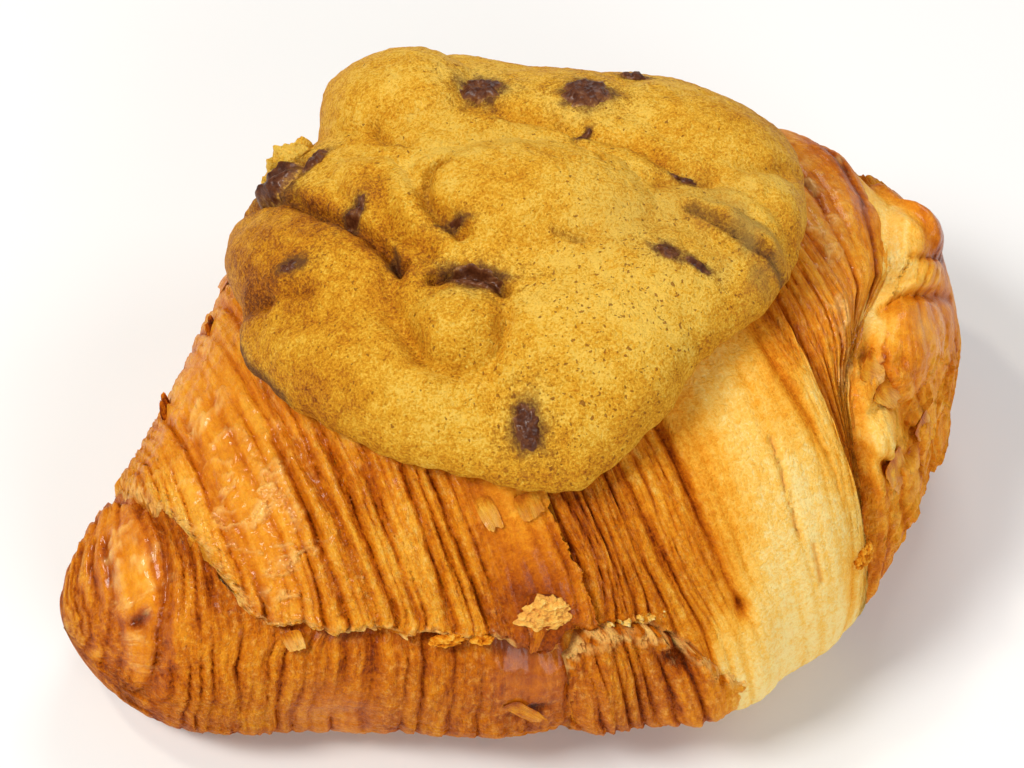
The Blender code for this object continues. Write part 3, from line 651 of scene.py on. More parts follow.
def core_relief(x, degrees):
    around = degrees * MM_PER_DEGREE
    place = layer_place(x, degrees)
    pitches = [(-80, 1.3), (-71, 1.3), (-69, 3.4), (-65, 2.2), (-58, 3.2), (-20, 3.0), (40, 2.6), (80, 2.8)]
    pile, shade, crest = layered(place, around, pitches, 20, 0.85, 0.85)
    ridged = blend_spots(x, degrees, 0.95, [
        (-66.5, 80, 3.0, 24, 0.1), (-70.5, 36, 1.2, 26, 0.15), (-75, 50, 2.5, 60, 1.1),
        (-21, 15, 3.5, 7, 0.05), (-48, -2, 3.5, 14, 0.45), (67, 44, 6, 11, 0.12), (70, 74, 5, 12, 0.08),
        (56, 22, 6, 10, 0.12), (52, 57, 4, 6, 0.1), (64, 80, 3, 10, 0.1), (60, 2, 8, 14, 0.3),
        (48, 15, 5, 10, 0.3), (43, 37, 3, 5, 0.12), (57, 46, 5, 9, 0.15)])
    zone = blend_spots(x, degrees, 0.0,
                       [(-66.8, 84, 3.4, 18, 1.0), (-70.5, 40, 1.2, 22, 0.7), (60, 44, 4, 7, 0.15),
                        (70, 76, 3, 7, 0.3), (48, 46, 3, 5, 0.7), (46, 20, 5, 10, 0.5)])
    patch, crests = blisters(x, around, zone, 30)
    flaky = blend_spots(x, degrees, 0.08,
                        [(-30, 0, 20, 12, 0.45), (50, 18, 9, 14, 1.7), (44, 46, 4, 6, 1.0),
                         (58, 22, 8, 12, 1.3), (60, 0, 9, 16, 1.6), (-62, 10, 8, 20, 0.3),
                         (-10, 6, 6, 8, 0.7)])
    tip_folds = folds_at(x, degrees, TIP_FOLDS) * (x < -58)
    edge = from_wrap_edge(x, degrees)
    fall = np.interp(x, [-64, -48, -30, 34, 36], [1.6, 3.0, 5.0, 5.0, 2.5])
    sink = np.interp(x, [-64, -52, -36], [1.0, 1.5, 2.7])
    covered = np.where(edge > 0, 1.0, np.exp(-(edge / fall) ** 2))
    height = crust_point(x, degrees)[..., 2]
    clear = np.clip(height / 5.0, 0.0, 1.0)
    swell = right_end_swell(x, degrees) * (x > 30) * (1 - 0.8 * covered)
    pit = bump_at(x, degrees, -69, 60, 1.4, 3.5) + 0.7 * bump_at(x, degrees, -67.6, 63, 1.0, 3)
    slit = np.exp(-((x + 21.7) / 3.0) ** 2 - ((degrees - 3.5 - 0.4 * (x + 21.7)) / 1.6) ** 2)
    waves = 0.55 * ripple(x * 0.07, around * 0.05, 8) + 0.25 * ripple(x * 0.2, around * 0.12, 9)
    scallops = bottom_scallops(x) * np.clip(1 - np.abs(degrees) / 40, 0, 1)
    inset = (sink * covered - swell + tip_folds) * clear + 0.3 + waves + scallops - 1.0 * patch * crests \
        + (ridged * pile - flaky * terraces(x, around, 33)
           + 0.08 * ripple(place * 1.1, around * 0.35, 12)) * clear \
        + 1.4 * pit + 1.4 * slit - 0.6 * bump_at(x, degrees, -67, 78, 3.0, 24)
    baked = blend_spots(x, degrees, 0.58, [
        (-76, 60, 2.5, 60, 0.48), (-67, 92, 3, 8, 0.52), (-66.5, 80, 2.5, 9, 0.34), (-68, 70, 2, 8, 0.44),
        (-71, 30, 2, 20, 0.52), (-62, 60, 3, 20, 0.60), (-63, 90, 2.5, 14, 0.66), (-73, 40, 1.5, 40, 0.50),
        (-70, 2, 8, 22, 0.76), (-50, 15, 10, 20, 0.63), (-40, 10, 10, 18, 0.72), (-25, 8, 8, 15, 0.76),
        (-47, -2, 4, 14, 0.54), (-58, 20, 6, 20, 0.60), (64.4, 82, 3.0, 11, -0.02), (61.0, 68, 3.2, 8, 0.0),
        (50.6, 56, 2.6, 5, 0.0), (56, 60, 4.5, 3.5, 0.06), (69.2, 71, 2.6, 11, 0.68),
        (72.2, 65, 2.8, 10, 0.92), (65, 56, 3.5, 4, 0.34), (54.5, 47, 3.2, 7, 0.54), (59.5, 40, 3, 8, 0.40),
        (42.6, 35, 3.2, 5.5, -0.02), (44, 46, 2.5, 3, 0.40), (45, 20, 4, 10, 0.36), (56, 18, 6, 10, 0.34),
        (54, 33, 5, 5, 0.42), (60, -10, 12, 15, 0.44), (76, 20, 4, 30, 0.46), (60, 130, 15, 30, 0.5),
        (-70, 140, 8, 30, 0.54)])
    low_down = np.clip(1 - height / 3.0, 0, 1)
    # Painted shade: darker under the wrap and in a band just below its edge.  The layer grooves, the pits,
    # the slit and the tip and end folds are darker too, partly deeper bake and partly painted shade, and the
    # crust darkens towards the bottom.
    baked = baked + ridged * shade + 0.12 * np.exp(-(np.minimum(edge + 0.5, 0) / 2.0) ** 2) * (x < 36) \
        + 0.30 * low_down ** 2 + 0.45 * pit + 0.35 * slit + 0.20 * np.clip(tip_folds, 0, 1) \
        + 0.18 * np.clip(folds_at(x, degrees, END_FOLDS), 0, 1) * (x > 36) * (edge < 0)
    stained = 0.70 * np.exp(-((edge + 1.4) / 1.6) ** 2) * step_up(ripple(x * 0.15, 0.0, 3), -0.2, 0.5) \
        * (x < -20) * (x > -48) + 0.35 * bump_at(x, degrees, -21, 17, 3, 4) \
        + 0.35 * bump_at(x, degrees, 41, 51, 1.5, 3) + 0.30 * bump_at(x, degrees, 72.5, 66, 2.5, 7)
    gloss = blend_spots(x, degrees, 0.46,
                        [(-72, 0, 6, 20, 0.2), (-67, 80, 4, 24, 1.0), (-71, 40, 3, 20, 0.9),
                         (-21, 14, 4, 7, 0.98), (-47, -5, 4, 14, 0.75), (60, 44, 7, 10, 0.95),
                         (71, 72, 5, 12, 0.98)])
    dark_spots = np.clip(pit + slit + low_down + bump_at(x, degrees, 72, 66, 3, 10), 0, 1)
    # Milk-pale skin on the blister crests: partly real lifted skin, partly painted highlight.
    milky_and_highlight = patch * (0.12 + crests) + 0.40 * bump_at(x, degrees, 57, 48, 2.6, 5)
    return {"inset": inset, "layer": place, "around": around, "ridged": ridged, "crest": crest * ridged,
            "baked": np.clip(baked, 0, 0.78 + 0.17 * dark_spots), "milky_and_highlight": milky_and_highlight,
            "stained": np.clip(stained, 0, 0.8), "gloss": gloss}


# %% Core: rings, rows and points
LEFT_TIP_RINGS, RIGHT_TIP_RINGS, MIDDLE_RINGS = 44, 50, 290
tip_turn = np.linspace(0.05, np.pi / 2, LEFT_TIP_RINGS, endpoint=False)
end_turn = np.linspace(np.pi / 2, 0.05, RIGHT_TIP_RINGS + 1)[1:]
core_rings = np.concatenate([LEFT_END + LEFT_ROUNDING * (1 - np.cos(tip_turn)),
                             np.linspace(LEFT_END + LEFT_ROUNDING, RIGHT_END - RIGHT_ROUNDING, MIDDLE_RINGS),
                             RIGHT_END - RIGHT_ROUNDING * (1 - np.cos(end_turn))])
core, along, round_it = new_grid("croissant_roll", len(core_rings) - 1, 236)
x = np.interp(along, np.linspace(0, 1, len(core_rings)), core_rings)
degrees = np.interp(round_it, [0, 0.14, 0.66, 0.97, 1], [-64, -18, 72, 244, 296])
relief = core_relief(x, degrees)
place_points(core, crust_point(x, degrees, relief["inset"]))
write_values(core, crust_values(x, degrees, relief))
close_up(core)
finish_piece(core, crust_finish, "crust", "croissant")

# %% [markdown]
# ## The outer wrap
# The last turn of dough covers the core from a ragged edge at the front to the back.  It is made as
# two sheets: a glossy one on the left whose torn right side lies over the second one, which opens
# into bands of layers, a smooth pale belly and the glossy stripes at the right.

# %% Rows of a sheet: over its outside, round its back edge and back along its inside
BACK_EDGE, SHOULDER_DEGREES, FRONT_SHARE = 231.0, 95.0, 0.66


def sheet_rows(outside_rows, inside_rows, rim_rows=4):
    """Share from the low edge to the back edge, and depth through the sheet, for every row."""
    outside = np.linspace(0, 1, outside_rows)
    inside = np.linspace(1, 0, inside_rows)
    rim = np.linspace(1, 0, rim_rows + 1)[1:]
    share = np.concatenate([outside, inside, 0 * rim])
    depth = np.concatenate([0 * outside, 0 * inside + 1, rim])
    return share, depth


def sheet_degrees(share, low):
    front = low + (SHOULDER_DEGREES - low) * share / FRONT_SHARE
    back = SHOULDER_DEGREES + (BACK_EDGE - SHOULDER_DEGREES) * (share - FRONT_SHARE) / (1 - FRONT_SHARE)
    return np.where(share < FRONT_SHARE, front, back)


def torn(run, amount, seed):
    """A torn edge in mm: long tongues, the ends of single layers, and short teeth."""
    tongues = ripple(run * 0.2, 0.3, seed)
    ends = ripple(np.floor(run / 2.3 + 0.6 * ripple(run * 0.3, 0.7, seed + 3)) * 3.3, 0.4, seed + 1)
    teeth = 0.35 * ripple(run * 0.9, 0.0, seed + 2) + 0.28 * ripple(run * 2.4, 0.0, seed + 4)
    return amount * (0.9 * tongues + 0.7 * ends + teeth)


def crumbs_at(x, around, edge, seed):
    """Crumbly unevenness that fades away from a torn edge, in mm."""
    return np.exp(-edge / 1.7) * (0.95 * ripple(x * 0.9, around * 0.9, seed)
                                  + 0.60 * ripple(x * 2.1, around * 2.1, seed + 1))


# %% The left sheet: relief
WRAP_FOLDS = [(0.8, 0.6, [(-52.3, 138), (-52.7, 108), (-52.3, 92), (-53, 81), (-53.5, 63), (-53.8, 49),
                          (-53, 42)]),
              (0.7, 0.6, [(-50.6, 112), (-51, 102), (-51.6, 90), (-52.5, 76), (-52.1, 59), (-52.3, 42)]),
              (0.8, 0.7, [(-41.3, 86), (-41.5, 76), (-41.7, 66), (-42.3, 55), (-42.7, 40)]),
              (0.8, 0.6, [(-39, 96), (-39, 76), (-38.9, 50), (-39, 36)]),
              (0.7, 0.6, [(-35.6, 80), (-35.9, 60), (-36.2, 36)]),
              (0.8, 0.6, [(-32.6, 69), (-33.1, 54), (-33.4, 34)]),
              (0.8, 0.6, [(-27.8, 66), (-28.0, 54), (-28.7, 44), (-29.2, 29)]),
              (0.6, 0.5, [(-24.6, 61), (-24.8, 46), (-24.9, 29)]),
              (0.5, 0.5, [(-42.2, 68), (-41.4, 62), (-43, 58), (-45, 60)])]


def left_relief(x, degrees, edge):
    around = degrees * MM_PER_DEGREE
    place = layer_place(x, degrees)
    pitches = [(-80, 2.4), (-55, 2.2), (-53, 4.5), (-41, 4.2), (-36, 2.6), (-24, 2.6), (-20, 2.4), (-10, 2.4)]
    pile, shade, crest = layered(place, around, pitches, 40, 0.9, 0.9)
    ridged = blend_spots(x, degrees, 0.95, [
        (-17, 45, 4.0, 26, 0.0), (-17, 25, 3.5, 12, 0.0), (-49, 80, 6, 24, 0.25), (-49, 115, 7, 25, 0.35),
        (-57, 60, 3, 20, 0.75), (-36, 50, 6, 20, 1.1), (-28, 45, 4, 15, 1.1)])
    zone = blend_spots(x, degrees, 0.0, [
        (-49.6, 131, 3, 9, 0.8), (-49, 103, 4, 9, 0.9), (-44.2, 84, 3, 6, 0.8), (-47.7, 72, 4, 8, 1.0),
        (-47, 59, 3, 6, 0.9), (-48, 51, 3, 5, 0.8), (-50, 81, 3, 6, 0.9), (-43.6, 62, 2.5, 4, 0.7),
        (-57, 100, 3, 12, 0.5)])
    patch, crests = blisters(x, around, zone, 15)
    waves = 0.50 * ripple(x * 0.06, around * 0.05, 18) + 0.25 * ripple(x * 0.2, around * 0.12, 19)
    skin = bump_at(x, degrees, -17, 42, 4.5, 26)
    dents = 0.40 * crinkle(x * 0.40, around * 0.26, 17)
    cords = folds_at(x, degrees, WRAP_FOLDS)
    inset = 0.25 + waves * (1 - 0.8 * skin) - 1.25 * patch * crests + ridged * pile \
        - dents * (1 - skin) + 0.08 * (1 - skin) * ripple(place * 1.1, around * 0.35, 22) + cords
    inset = inset + 0.8 * np.exp(-(edge / 0.7) ** 2) - 0.4 * np.exp(-((edge - 2.0) / 1.6) ** 2) \
        + crumbs_at(x, around, edge, 16)
    # The layer grooves and the fold lines are darker: partly deeper bake, partly painted shade.
    baked = blend_spots(x, degrees, 0.52, [
        (-49, 74, 6, 24, 0.43), (-50, 110, 8, 25, 0.50), (-57, 60, 3, 18, 0.36), (-58, 88, 4, 14, 0.28),
        (-40, 55, 4, 20, 0.52), (-47, 48, 4, 7, 0.60), (-33, 45, 6, 14, 0.46), (-33, 68, 6, 10, 0.56),
        (-26, 45, 3, 20, 0.52), (-21.5, 50, 2, 20, 0.66), (-15.4, 50, 2.2, 6, 0.40), (-16, 40, 4, 7, 0.66),
        (-19.5, 29, 5, 9, 1.05), (-20.5, 50, 1.5, 14, 0.70), (-46, 38, 6, 4, 0.44),
        (-34, 32, 8, 4, 0.44)]) + ridged * shade + 0.22 * np.clip(cords, 0, 1)
    gloss = blend_spots(x, degrees, 0.48,
                        [(-49, 85, 9, 40, 0.95), (-17, 45, 5, 22, 0.60), (-20, 25, 4, 8, 0.55),
                         (-36, 50, 6, 20, 0.5)])
    crumbly = 0.85 * np.exp(-(edge / 1.5) ** 2) \
        * step_up(ripple(x * 0.8, around * 0.8, 7), -0.35, 0.25) * (x < -22)
    stained = 0.30 * np.exp(-((edge - 1.0) / 1.5) ** 2) * step_up(ripple(x * 0.15, 0.0, 3), 0.0, 0.6)
    # Milk-pale skin on the blister crests: partly real lifted skin, partly painted highlight.
    return {"inset": inset, "layer": place, "around": around, "ridged": ridged, "crest": crest * ridged,
            "baked": np.clip(baked + 0.10 * bump_at(x, degrees, -19.5, 29, 4, 9), 0, 0.70 + 0.22 * skin),
            "milky_and_highlight": patch * (0.06 + 1.05 * crests), "stained": stained, "crumbly": crumbly,
            "gloss": gloss}


# %% The left sheet: points
share_rows, depth_rows = sheet_rows(250, 30)
left_wrap, along, round_it = new_grid("wrap_left", 165, len(share_rows) - 1)
row = np.rint(round_it * (len(share_rows) - 1)).astype(int)
share, depth = share_rows[row], depth_rows[row]
rough_degrees = sheet_degrees(share, 40.0)
left_side = np.interp(rough_degrees, [40, 54, 76, 98, 125, 231], [-55, -56, -58.5, -61, -62.5, -62.5]) \
    + torn(rough_degrees * 0.8, 0.5, 12)
right_side = -11.2 + torn(rough_degrees * MM_PER_DEGREE, 1.1, 3)
right_side = right_side - 3.5 * step_up(-rough_degrees, -33, -27) - 6.0 * step_up(-rough_degrees, -26, -20)
x = left_side + along * (right_side - left_side)
low = wrap_edge(x) - torn(x, 1.9, 4) / MM_PER_DEGREE
degrees = sheet_degrees(share, low)
edge = np.minimum((degrees - low) * MM_PER_DEGREE, (x - left_side) * 1.0)
relief = left_relief(x, degrees, edge)
thickness = np.interp(edge, [0, 3, 9], [1.2, 2.0, 3.6]) * np.clip((right_side - x) / 1.2, 0, 1) \
    * np.interp(x, [-62, -48], [0.9, 1.2]) + 0.3
place_points(left_wrap, crust_point(x, degrees - 2.4 * depth * (1 - depth) * (share == 0),
                                    relief["inset"] + thickness * depth))
write_values(left_wrap, crust_values(x, degrees, relief))
close_up(left_wrap)
finish_piece(left_wrap, crust_finish, "crust")


# %% The right sheet: relief
def right_relief(x, degrees, edge):
    around = degrees * MM_PER_DEGREE
    place = layer_place(x, degrees)
    pile, shade, crest = layered(place, around, [(-80, 2.3), (6, 2.3), (9, 5), (28, 4), (31, 1.5),
                                                 (38, 1.6), (42, 2.6), (54, 3.0)], 60, 1.0, 1.0)
    ridged = blend_spots(x, degrees, 0.8, [
        (-5, 45, 6, 25, 1.0), (3, 45, 4, 25, 1.0), (19, 50, 8, 30, 0.05), (19, 10, 9, 20, 0.03),
        (22, -25, 12, 14, 0.12), (33, 50, 2.5, 30, 0.8), (46, 70, 6, 20, 0.75)])
    zone = blend_spots(x, degrees, 0.0, [(48, 75, 4, 7, 0.8), (44, 60, 3, 5, 0.9), (53, 89, 4, 8, 0.8),
                                         (41, 50, 2, 5, 0.8), (62, 95, 4, 8, 0.5)])
    patch, crests = blisters(x, around, zone, 25)
    waves = 0.45 * ripple(x * 0.06, around * 0.05, 28) + 0.2 * ripple(x * 0.2, around * 0.12, 29)
    rolled_in = 2.4 * np.exp(-(from_wrap_edge(x, degrees) / 4.0) ** 2) * (x > 34)
    deep = np.exp(-((place - 8.0) / 0.9) ** 2) * step_up(degrees, 12, 24)
    crack = near_path(x, degrees, [(22.9, 49), (22.2, 40), (22.0, 30)], 0.5) \
        * step_up(ripple(x * 0.8, around * 1.1, 6), -0.35, 0.1)
    crack = np.maximum(crack, near_path(x, degrees, [(24, 27), (24.1, 18)], 0.45))
    red_pit = bump_at(x, degrees, 10.7, 20, 1.1, 2.0)
    inset = 0.35 + waves - 0.6 * patch * crests + rolled_in + ridged * pile + 1.0 * deep \
        + 0.08 * ripple(place * 1.1, around * 0.35, 32) + 0.7 * crack + 1.2 * red_pit \
        + 0.8 * np.exp(-(edge / 0.7) ** 2) * (x < 10) + 1.1 * step_up(-x, 7, 12) * (degrees < 100) \
        + crumbs_at(x, around, edge, 26) * (x < 10) + 1.6 * step_up(x, 60, 68.5)
    baked = blend_spots(x, degrees, 0.50, [
        (-9, 50, 4, 14, 0.74), (-6, 30, 5, 12, 0.68), (0, 45, 4, 20, 0.57), (4, 40, 3, 25, 0.54),
        (12, 45, 2.5, 25, 0.33), (13, 20, 3, 12, 0.34), (19, 50, 4, 22, 0.08), (19, 20, 5, 16, 0.10),
        (25, 40, 3.5, 20, 0.13), (27.5, 55, 3, 10, 0.36), (33, 12, 3, 8, 0.64), (20, 0, 10, 10, -0.04),
        (22, -25, 12, 14, 0.22), (33, 55, 3, 25, 0.69), (36, 30, 3, 14, 0.60), (44, 60, 6, 10, 0.54),
        (50, 85, 6, 15, 0.52), (62, 98, 4, 8, 0.72), (40, 42, 3, 6, 0.46), (35, 10, 4, 10, 0.46),
        (14, 72, 8, 8, 0.28), (34, 15, 3, 7, 0.70), (29.5, 45, 3, 18, 0.56), (31, 25, 2.5, 10, 0.50)])
    flame = step_up(degrees - 8 - 1.6 * (x - 6) + 7 * ripple(x * 0.3, around * 0.08, 35), 14, -2) \
        * (x > 4) * (x < 34)
    # The layer grooves, the deep groove and the red pit are darker: partly deeper bake, partly painted shade.
    baked = baked * (1 - 0.6 * flame) + ridged * shade + 0.16 * deep + 0.14 * crack + 0.4 * red_pit
    gloss = blend_spots(x, degrees, 0.35, [(-9, 40, 3, 15, 0.6), (2, 45, 5, 20, 0.35),
                                           (20, 30, 10, 40, 0.25), (45, 65, 8, 15, 0.95),
                                           (55, 88, 8, 15, 0.9)])
    # Milk-pale skin on the blister crests: partly real lifted skin, partly painted highlight.
    return {"inset": inset, "layer": place, "around": around, "ridged": ridged, "crest": crest * ridged,
            "baked": np.clip(baked, 0, 0.84), "milky_and_highlight": patch * (0.12 + crests), "gloss": gloss,
            "crumbly": 0.6 * crack + 0.6 * np.exp(-(edge / 0.9) ** 2) * (x > -4) * (x < 10)}


# %% The right sheet: points
share_rows, depth_rows = sheet_rows(262, 34)
right_wrap, along, round_it = new_grid("wrap_right", 262, len(share_rows) - 1)
row = np.rint(round_it * (len(share_rows) - 1)).astype(int)
share, depth = share_rows[row], depth_rows[row]
RIGHT_WRAP_START, RIGHT_WRAP_END = -15.0, 68.3
x = RIGHT_WRAP_START + along * (RIGHT_WRAP_END - RIGHT_WRAP_START)
low = wrap_edge(x) - torn(x, 0.8, 34) / MM_PER_DEGREE * (1 - 0.6 * step_up(x, 8, 12))
degrees = sheet_degrees(share, low)
edge = (degrees - low) * MM_PER_DEGREE
relief = right_relief(x, degrees, edge)
thinner_sides = np.clip(np.minimum(x - RIGHT_WRAP_START, 69.3 - x) / 3.0, 0.3, 1)
thickness = np.interp(edge, [0, 3, 9], [1.3, 2.0, 4.0]) * thinner_sides
place_points(right_wrap, crust_point(x, degrees - 2.4 * depth * (1 - depth) * (share == 0),
                                     relief["inset"] + thickness * depth))
write_values(right_wrap, crust_values(x, degrees, relief))
close_up(right_wrap)
finish_piece(right_wrap, crust_finish, "crust")

# %% [markdown]
# ## The torn block at the front
# Below the wrap's edge a short stretch of layers has burst out.  Its crumbly top edge shows the
# pale inside, and a dark pit is torn in its right end.

# %% Front block
block_top = smooth_curve([(-16, 16), (-13, 24), (-4, 22), (2, 15), (7, 6)], 1.0)
outside, inside = np.linspace(0, 1, 116), np.linspace(1, 0, 16)
share_rows = np.concatenate([outside, inside, [0, 0]])
depth_rows = np.concatenate([0 * outside, 0 * inside + 1, [0.5, 0]])
block, along, round_it = new_grid("front_block", 96, len(share_rows) - 1)
row = np.rint(round_it * (len(share_rows) - 1)).astype(int)
share, depth = share_rows[row], depth_rows[row]
x = -15.5 + torn(share * 60, 0.5, 52) * (1 - along) + along * 24.5
high = block_top(x) + torn(x, 1.0, 44) / MM_PER_DEGREE
degrees = -50 + (high + 50) * share
edge = (high - degrees) * MM_PER_DEGREE
around = degrees * MM_PER_DEGREE
place = layer_place(x, degrees)
pile, shade, crest = layered(place + 0.10 * (around - 5), around, [(-80, 1.9), (20, 1.9)], 80, 0.9, 0.7)
pit = np.exp(-((x + 0.9) / 1.9) ** 2 - ((degrees - 14.3 + 0.5 * (x + 0.9)) / 2.4) ** 2)
proud = step_up(x, -15.5, -10.5) * (1 - step_up(x, 1, 9))
flat_end = step_up(x, 3, 9)
inset = 0.4 - 2.2 * proud + 0.35 * ripple(x * 0.15, around * 0.1, 38) + pile * (1 - flat_end) + 2.2 * pit \
    + 0.7 * np.exp(-(edge / 0.8) ** 2) + 1.5 * crumbs_at(x, around, edge * 0.6, 46)
points = crust_point(x, degrees, inset * (1 - depth) + 6.0 * depth)
place_points(block, points)
baked = blend_spots(x, degrees, 0.62, [(-12, 10, 4, 15, 0.66), (-4, 8, 5, 12, 0.64), (4, 2, 3, 12, 0.52),
                                       (7, -6, 3, 15, 0.32)])
# The layer grooves and the pit are darker, partly deeper bake and partly painted shade, and the block darkens
# towards the bottom.
baked = baked + shade * (1 - flat_end) + 0.4 * pit + 0.28 * np.clip(1 - points[:, 2] / 4.0, 0, 1) ** 2
crumbly = 0.9 * np.exp(-(edge / 2.4) ** 2) * step_up(ripple(x * 0.6, around * 0.6, 7), -0.5, 0.2) * (1 - pit)
write_values(block, crust_values(x, degrees, {
    "layer": place, "around": around, "ridged": 0.9 + 0 * x, "crest": crest, "baked": np.clip(baked, 0, 0.92),
    "crumbly": crumbly, "gloss": 0.45 + 0 * x}))
close_up(block)
finish_piece(block, crust_finish, "crust")

# %% [markdown]
# ## Flakes
# Here and there a leaf of crust has come loose and stands off, thin enough to let light through.
# Each flake is a small grid laid on the crust, given an uneven outline, lifted towards its free
# end, and thickened by a Solidify modifier that is then applied.

# %% Flakes
flake_finish = crust_material("thin_flake", milky_highlight_colour=(0.88, 0.52, 0.17))


def flake(name, ground, x_root, degrees_root, width, length, lift, turn, tone=0.36, milky_and_highlight=0.5, taper=0.25):
    piece, across, down = new_grid(name, 20, 24)
    seed = len(name) + int(abs(x_root * 7) + abs(degrees_root * 3)) % 50
    across = (across - 0.5) * (1 + 0.16 * ripple(down * 2.4, 0.5, seed)
                               + 0.05 * ripple(down * 8, 0.5, seed) - taper * down)
    down = down * (1 + 0.16 * ripple(across * 2.2, 0.5, seed + 1) + 0.06 * ripple(across * 7, 0.5, seed + 2))
    narrower, shorter = 1 - 0.12 * (2 * down - 1) ** 4, 1 - 0.12 * (2 * across) ** 4
    across, down = across * narrower, 0.5 + (down - 0.5) * shorter
    cosine, sine = math.cos(math.radians(turn)), math.sin(math.radians(turn))
    x = x_root + across * width * cosine + down * length * sine
    degrees = degrees_root - (down * length * cosine - across * width * sine) / MM_PER_DEGREE
    below = ground(x, degrees)["inset"]
    level = np.percentile(below[down < 0.4], 20)
    bend = 0.25 * ripple(across * 2.2, down * 2.2, seed + 3)
    inset = level + 0.15 - (0.25 + lift * down ** 1.5 + bend * down)
    place_points(piece, crust_point(x, degrees, inset))
    around = degrees * MM_PER_DEGREE
    # The free end of the flake is milk-pale: thin skin, partly painted light shining through it.
    write_values(piece, crust_values(x, degrees, {
        "layer": x_root + across * width * 1.6, "around": down * length, "ridged": 0.9 + 0 * x,
        "baked": tone + 0.22 * ripple(x * 0.6, around * 0.2, seed) + 0.16 * step_up(0.35 - down, 0.0, 0.35),
        "milky_and_highlight": milky_and_highlight * step_up(down, 0.1, 0.7) * (0.7 + 0.6 * ripple(across * 6, down * 1.5, seed + 4)),
        "gloss": 0.75 + 0 * x}))
    solid = piece.modifiers.new("leaf", "SOLIDIFY")
    solid.thickness = 0.14 * MM
    solid.offset = 0
    bpy.ops.object.modifier_apply(modifier=solid.name)
    bpy.ops.object.shade_smooth_by_angle(angle=math.radians(60))
    finish_piece(piece, flake_finish, "crust")


def on_left(x, degrees):
    return left_relief(x, degrees, np.full(np.shape(x), 9.0))


def on_right(x, degrees):
    return right_relief(x, degrees, np.full(np.shape(x), 9.0))


FLAKES = [
    ("flake_hanging", on_left, -50.4, 39.5, 2.7, 5.6, 0.3, 2, 0.44, 0.60, 0.0),
    ("flake_skin_1", on_left, -19.8, 55, 2.6, 5.5, 0.3, 3, 0.44, 0.45, 0.0),
    ("flake_skin_2", on_left, -14.0, 53, 3.8, 4.0, 0.2, 0, 0.48, 0.25, 0.1),
    ("flake_flap", on_left, -16.5, 34, 5.2, 10.5, 0.6, -20, 0.70, 0.0, 0.85),
    ("flake_triangle", core_relief, -16.8, 23, 2.4, 7.6, 0.6, 8, 0.50, 0.35, 0.9),
    ("flake_chevron", core_relief, -14.6, 8.6, 2.2, 5.0, 1.0, 68, 0.52, 0.2, 0.1),
    ("flake_slit", core_relief, -24.5, 7.5, 3.0, 6.0, 0.8, 40, 0.58, 0.1, 0.3),
    ("flake_valley_1", core_relief, 44.6, 50.0, 7.0, 5.2, 0.9, 30, 0.42, 0.65, 0.5),
    ("flake_valley_2", core_relief, 45.2, 44, 5.6, 6.8, 0.8, 22, 0.44, 0.50, 0.6),
    ("flake_valley_3", core_relief, 52.0, 27, 5.0, 6.5, 0.3, 14, 0.46, 0.20, 0.4),
    ("flake_low_1", core_relief, 43.2, 28.5, 5.4, 7.5, 0.3, 8, 0.38, 0.40, 0.3),
    ("flake_back_1", on_left, -34.0, 140, 4.5, 5.0, 0.7, 180, 0.48, 0.2, 0.4),
    ("flake_back_2", on_right, 18.0, 150, 5.5, 4.5, 0.7, 170, 0.48, 0.2, 0.4),
    ("flake_back_3", on_right, 50.0, 140, 4.5, 4.5, 0.7, 185, 0.48, 0.2, 0.4)]
for name, *values in FLAKES:
    flake(name, *values)


# %% [markdown]
# ### Torn crumb
# Where the skin over the front has torn, a rag of pale crumb shows, like a little sponge.  A round
# icosphere is flattened onto the crust and deeply roughened.

# %% Torn crumb
def crumb_lump(name, ground, x_middle, degrees_middle, half_x, half_degrees, height, seed, tone=0.26,
               milky_and_highlight=0.0):
    bpy.ops.object.select_all(action="DESELECT")
    bpy.ops.mesh.primitive_ico_sphere_add(subdivisions=6, radius=1)
    piece = bpy.context.object
    piece.name = piece.data.name = name
    ball = np.array([v.co for v in piece.data.vertices])
    turn = np.arctan2(ball[:, 1], ball[:, 0])
    spread = 1 + 0.24 * ripple(np.cos(turn) * 1.5, np.sin(turn) * 1.5, seed) \
        + 0.13 * ripple(np.cos(turn) * 4.5, np.sin(turn) * 4.5, seed + 1)
    x = x_middle + ball[:, 0] * half_x * spread
    degrees = degrees_middle + ball[:, 1] * half_degrees * spread
    around = degrees * MM_PER_DEGREE
    holes = 0.60 * np.clip(crumple(x * 0.9, around * 0.9, 3, seed + 2), -1, 1) \
        + 0.18 * ripple(x * 3.4, around * 3.4, seed + 3)
    flattened = np.sign(ball[:, 2]) * np.abs(ball[:, 2]) ** 0.6
    rise = flattened * height * (1 + holes * (ball[:, 2] > 0))
    level = float(np.percentile(ground(x, degrees)["inset"], 35))
    place_points(piece, crust_point(x, degrees, level - rise))
    write_values(piece, crust_values(x, degrees, {
        "layer": x, "around": around, "ridged": 0 * x, "baked": tone - 0.45 * holes, "gloss": 0.15 + 0 * x,
        "milky_and_highlight": milky_and_highlight + 0 * x}))
    bpy.ops.object.shade_smooth()
    finish_piece(piece, crust_finish, "crust")


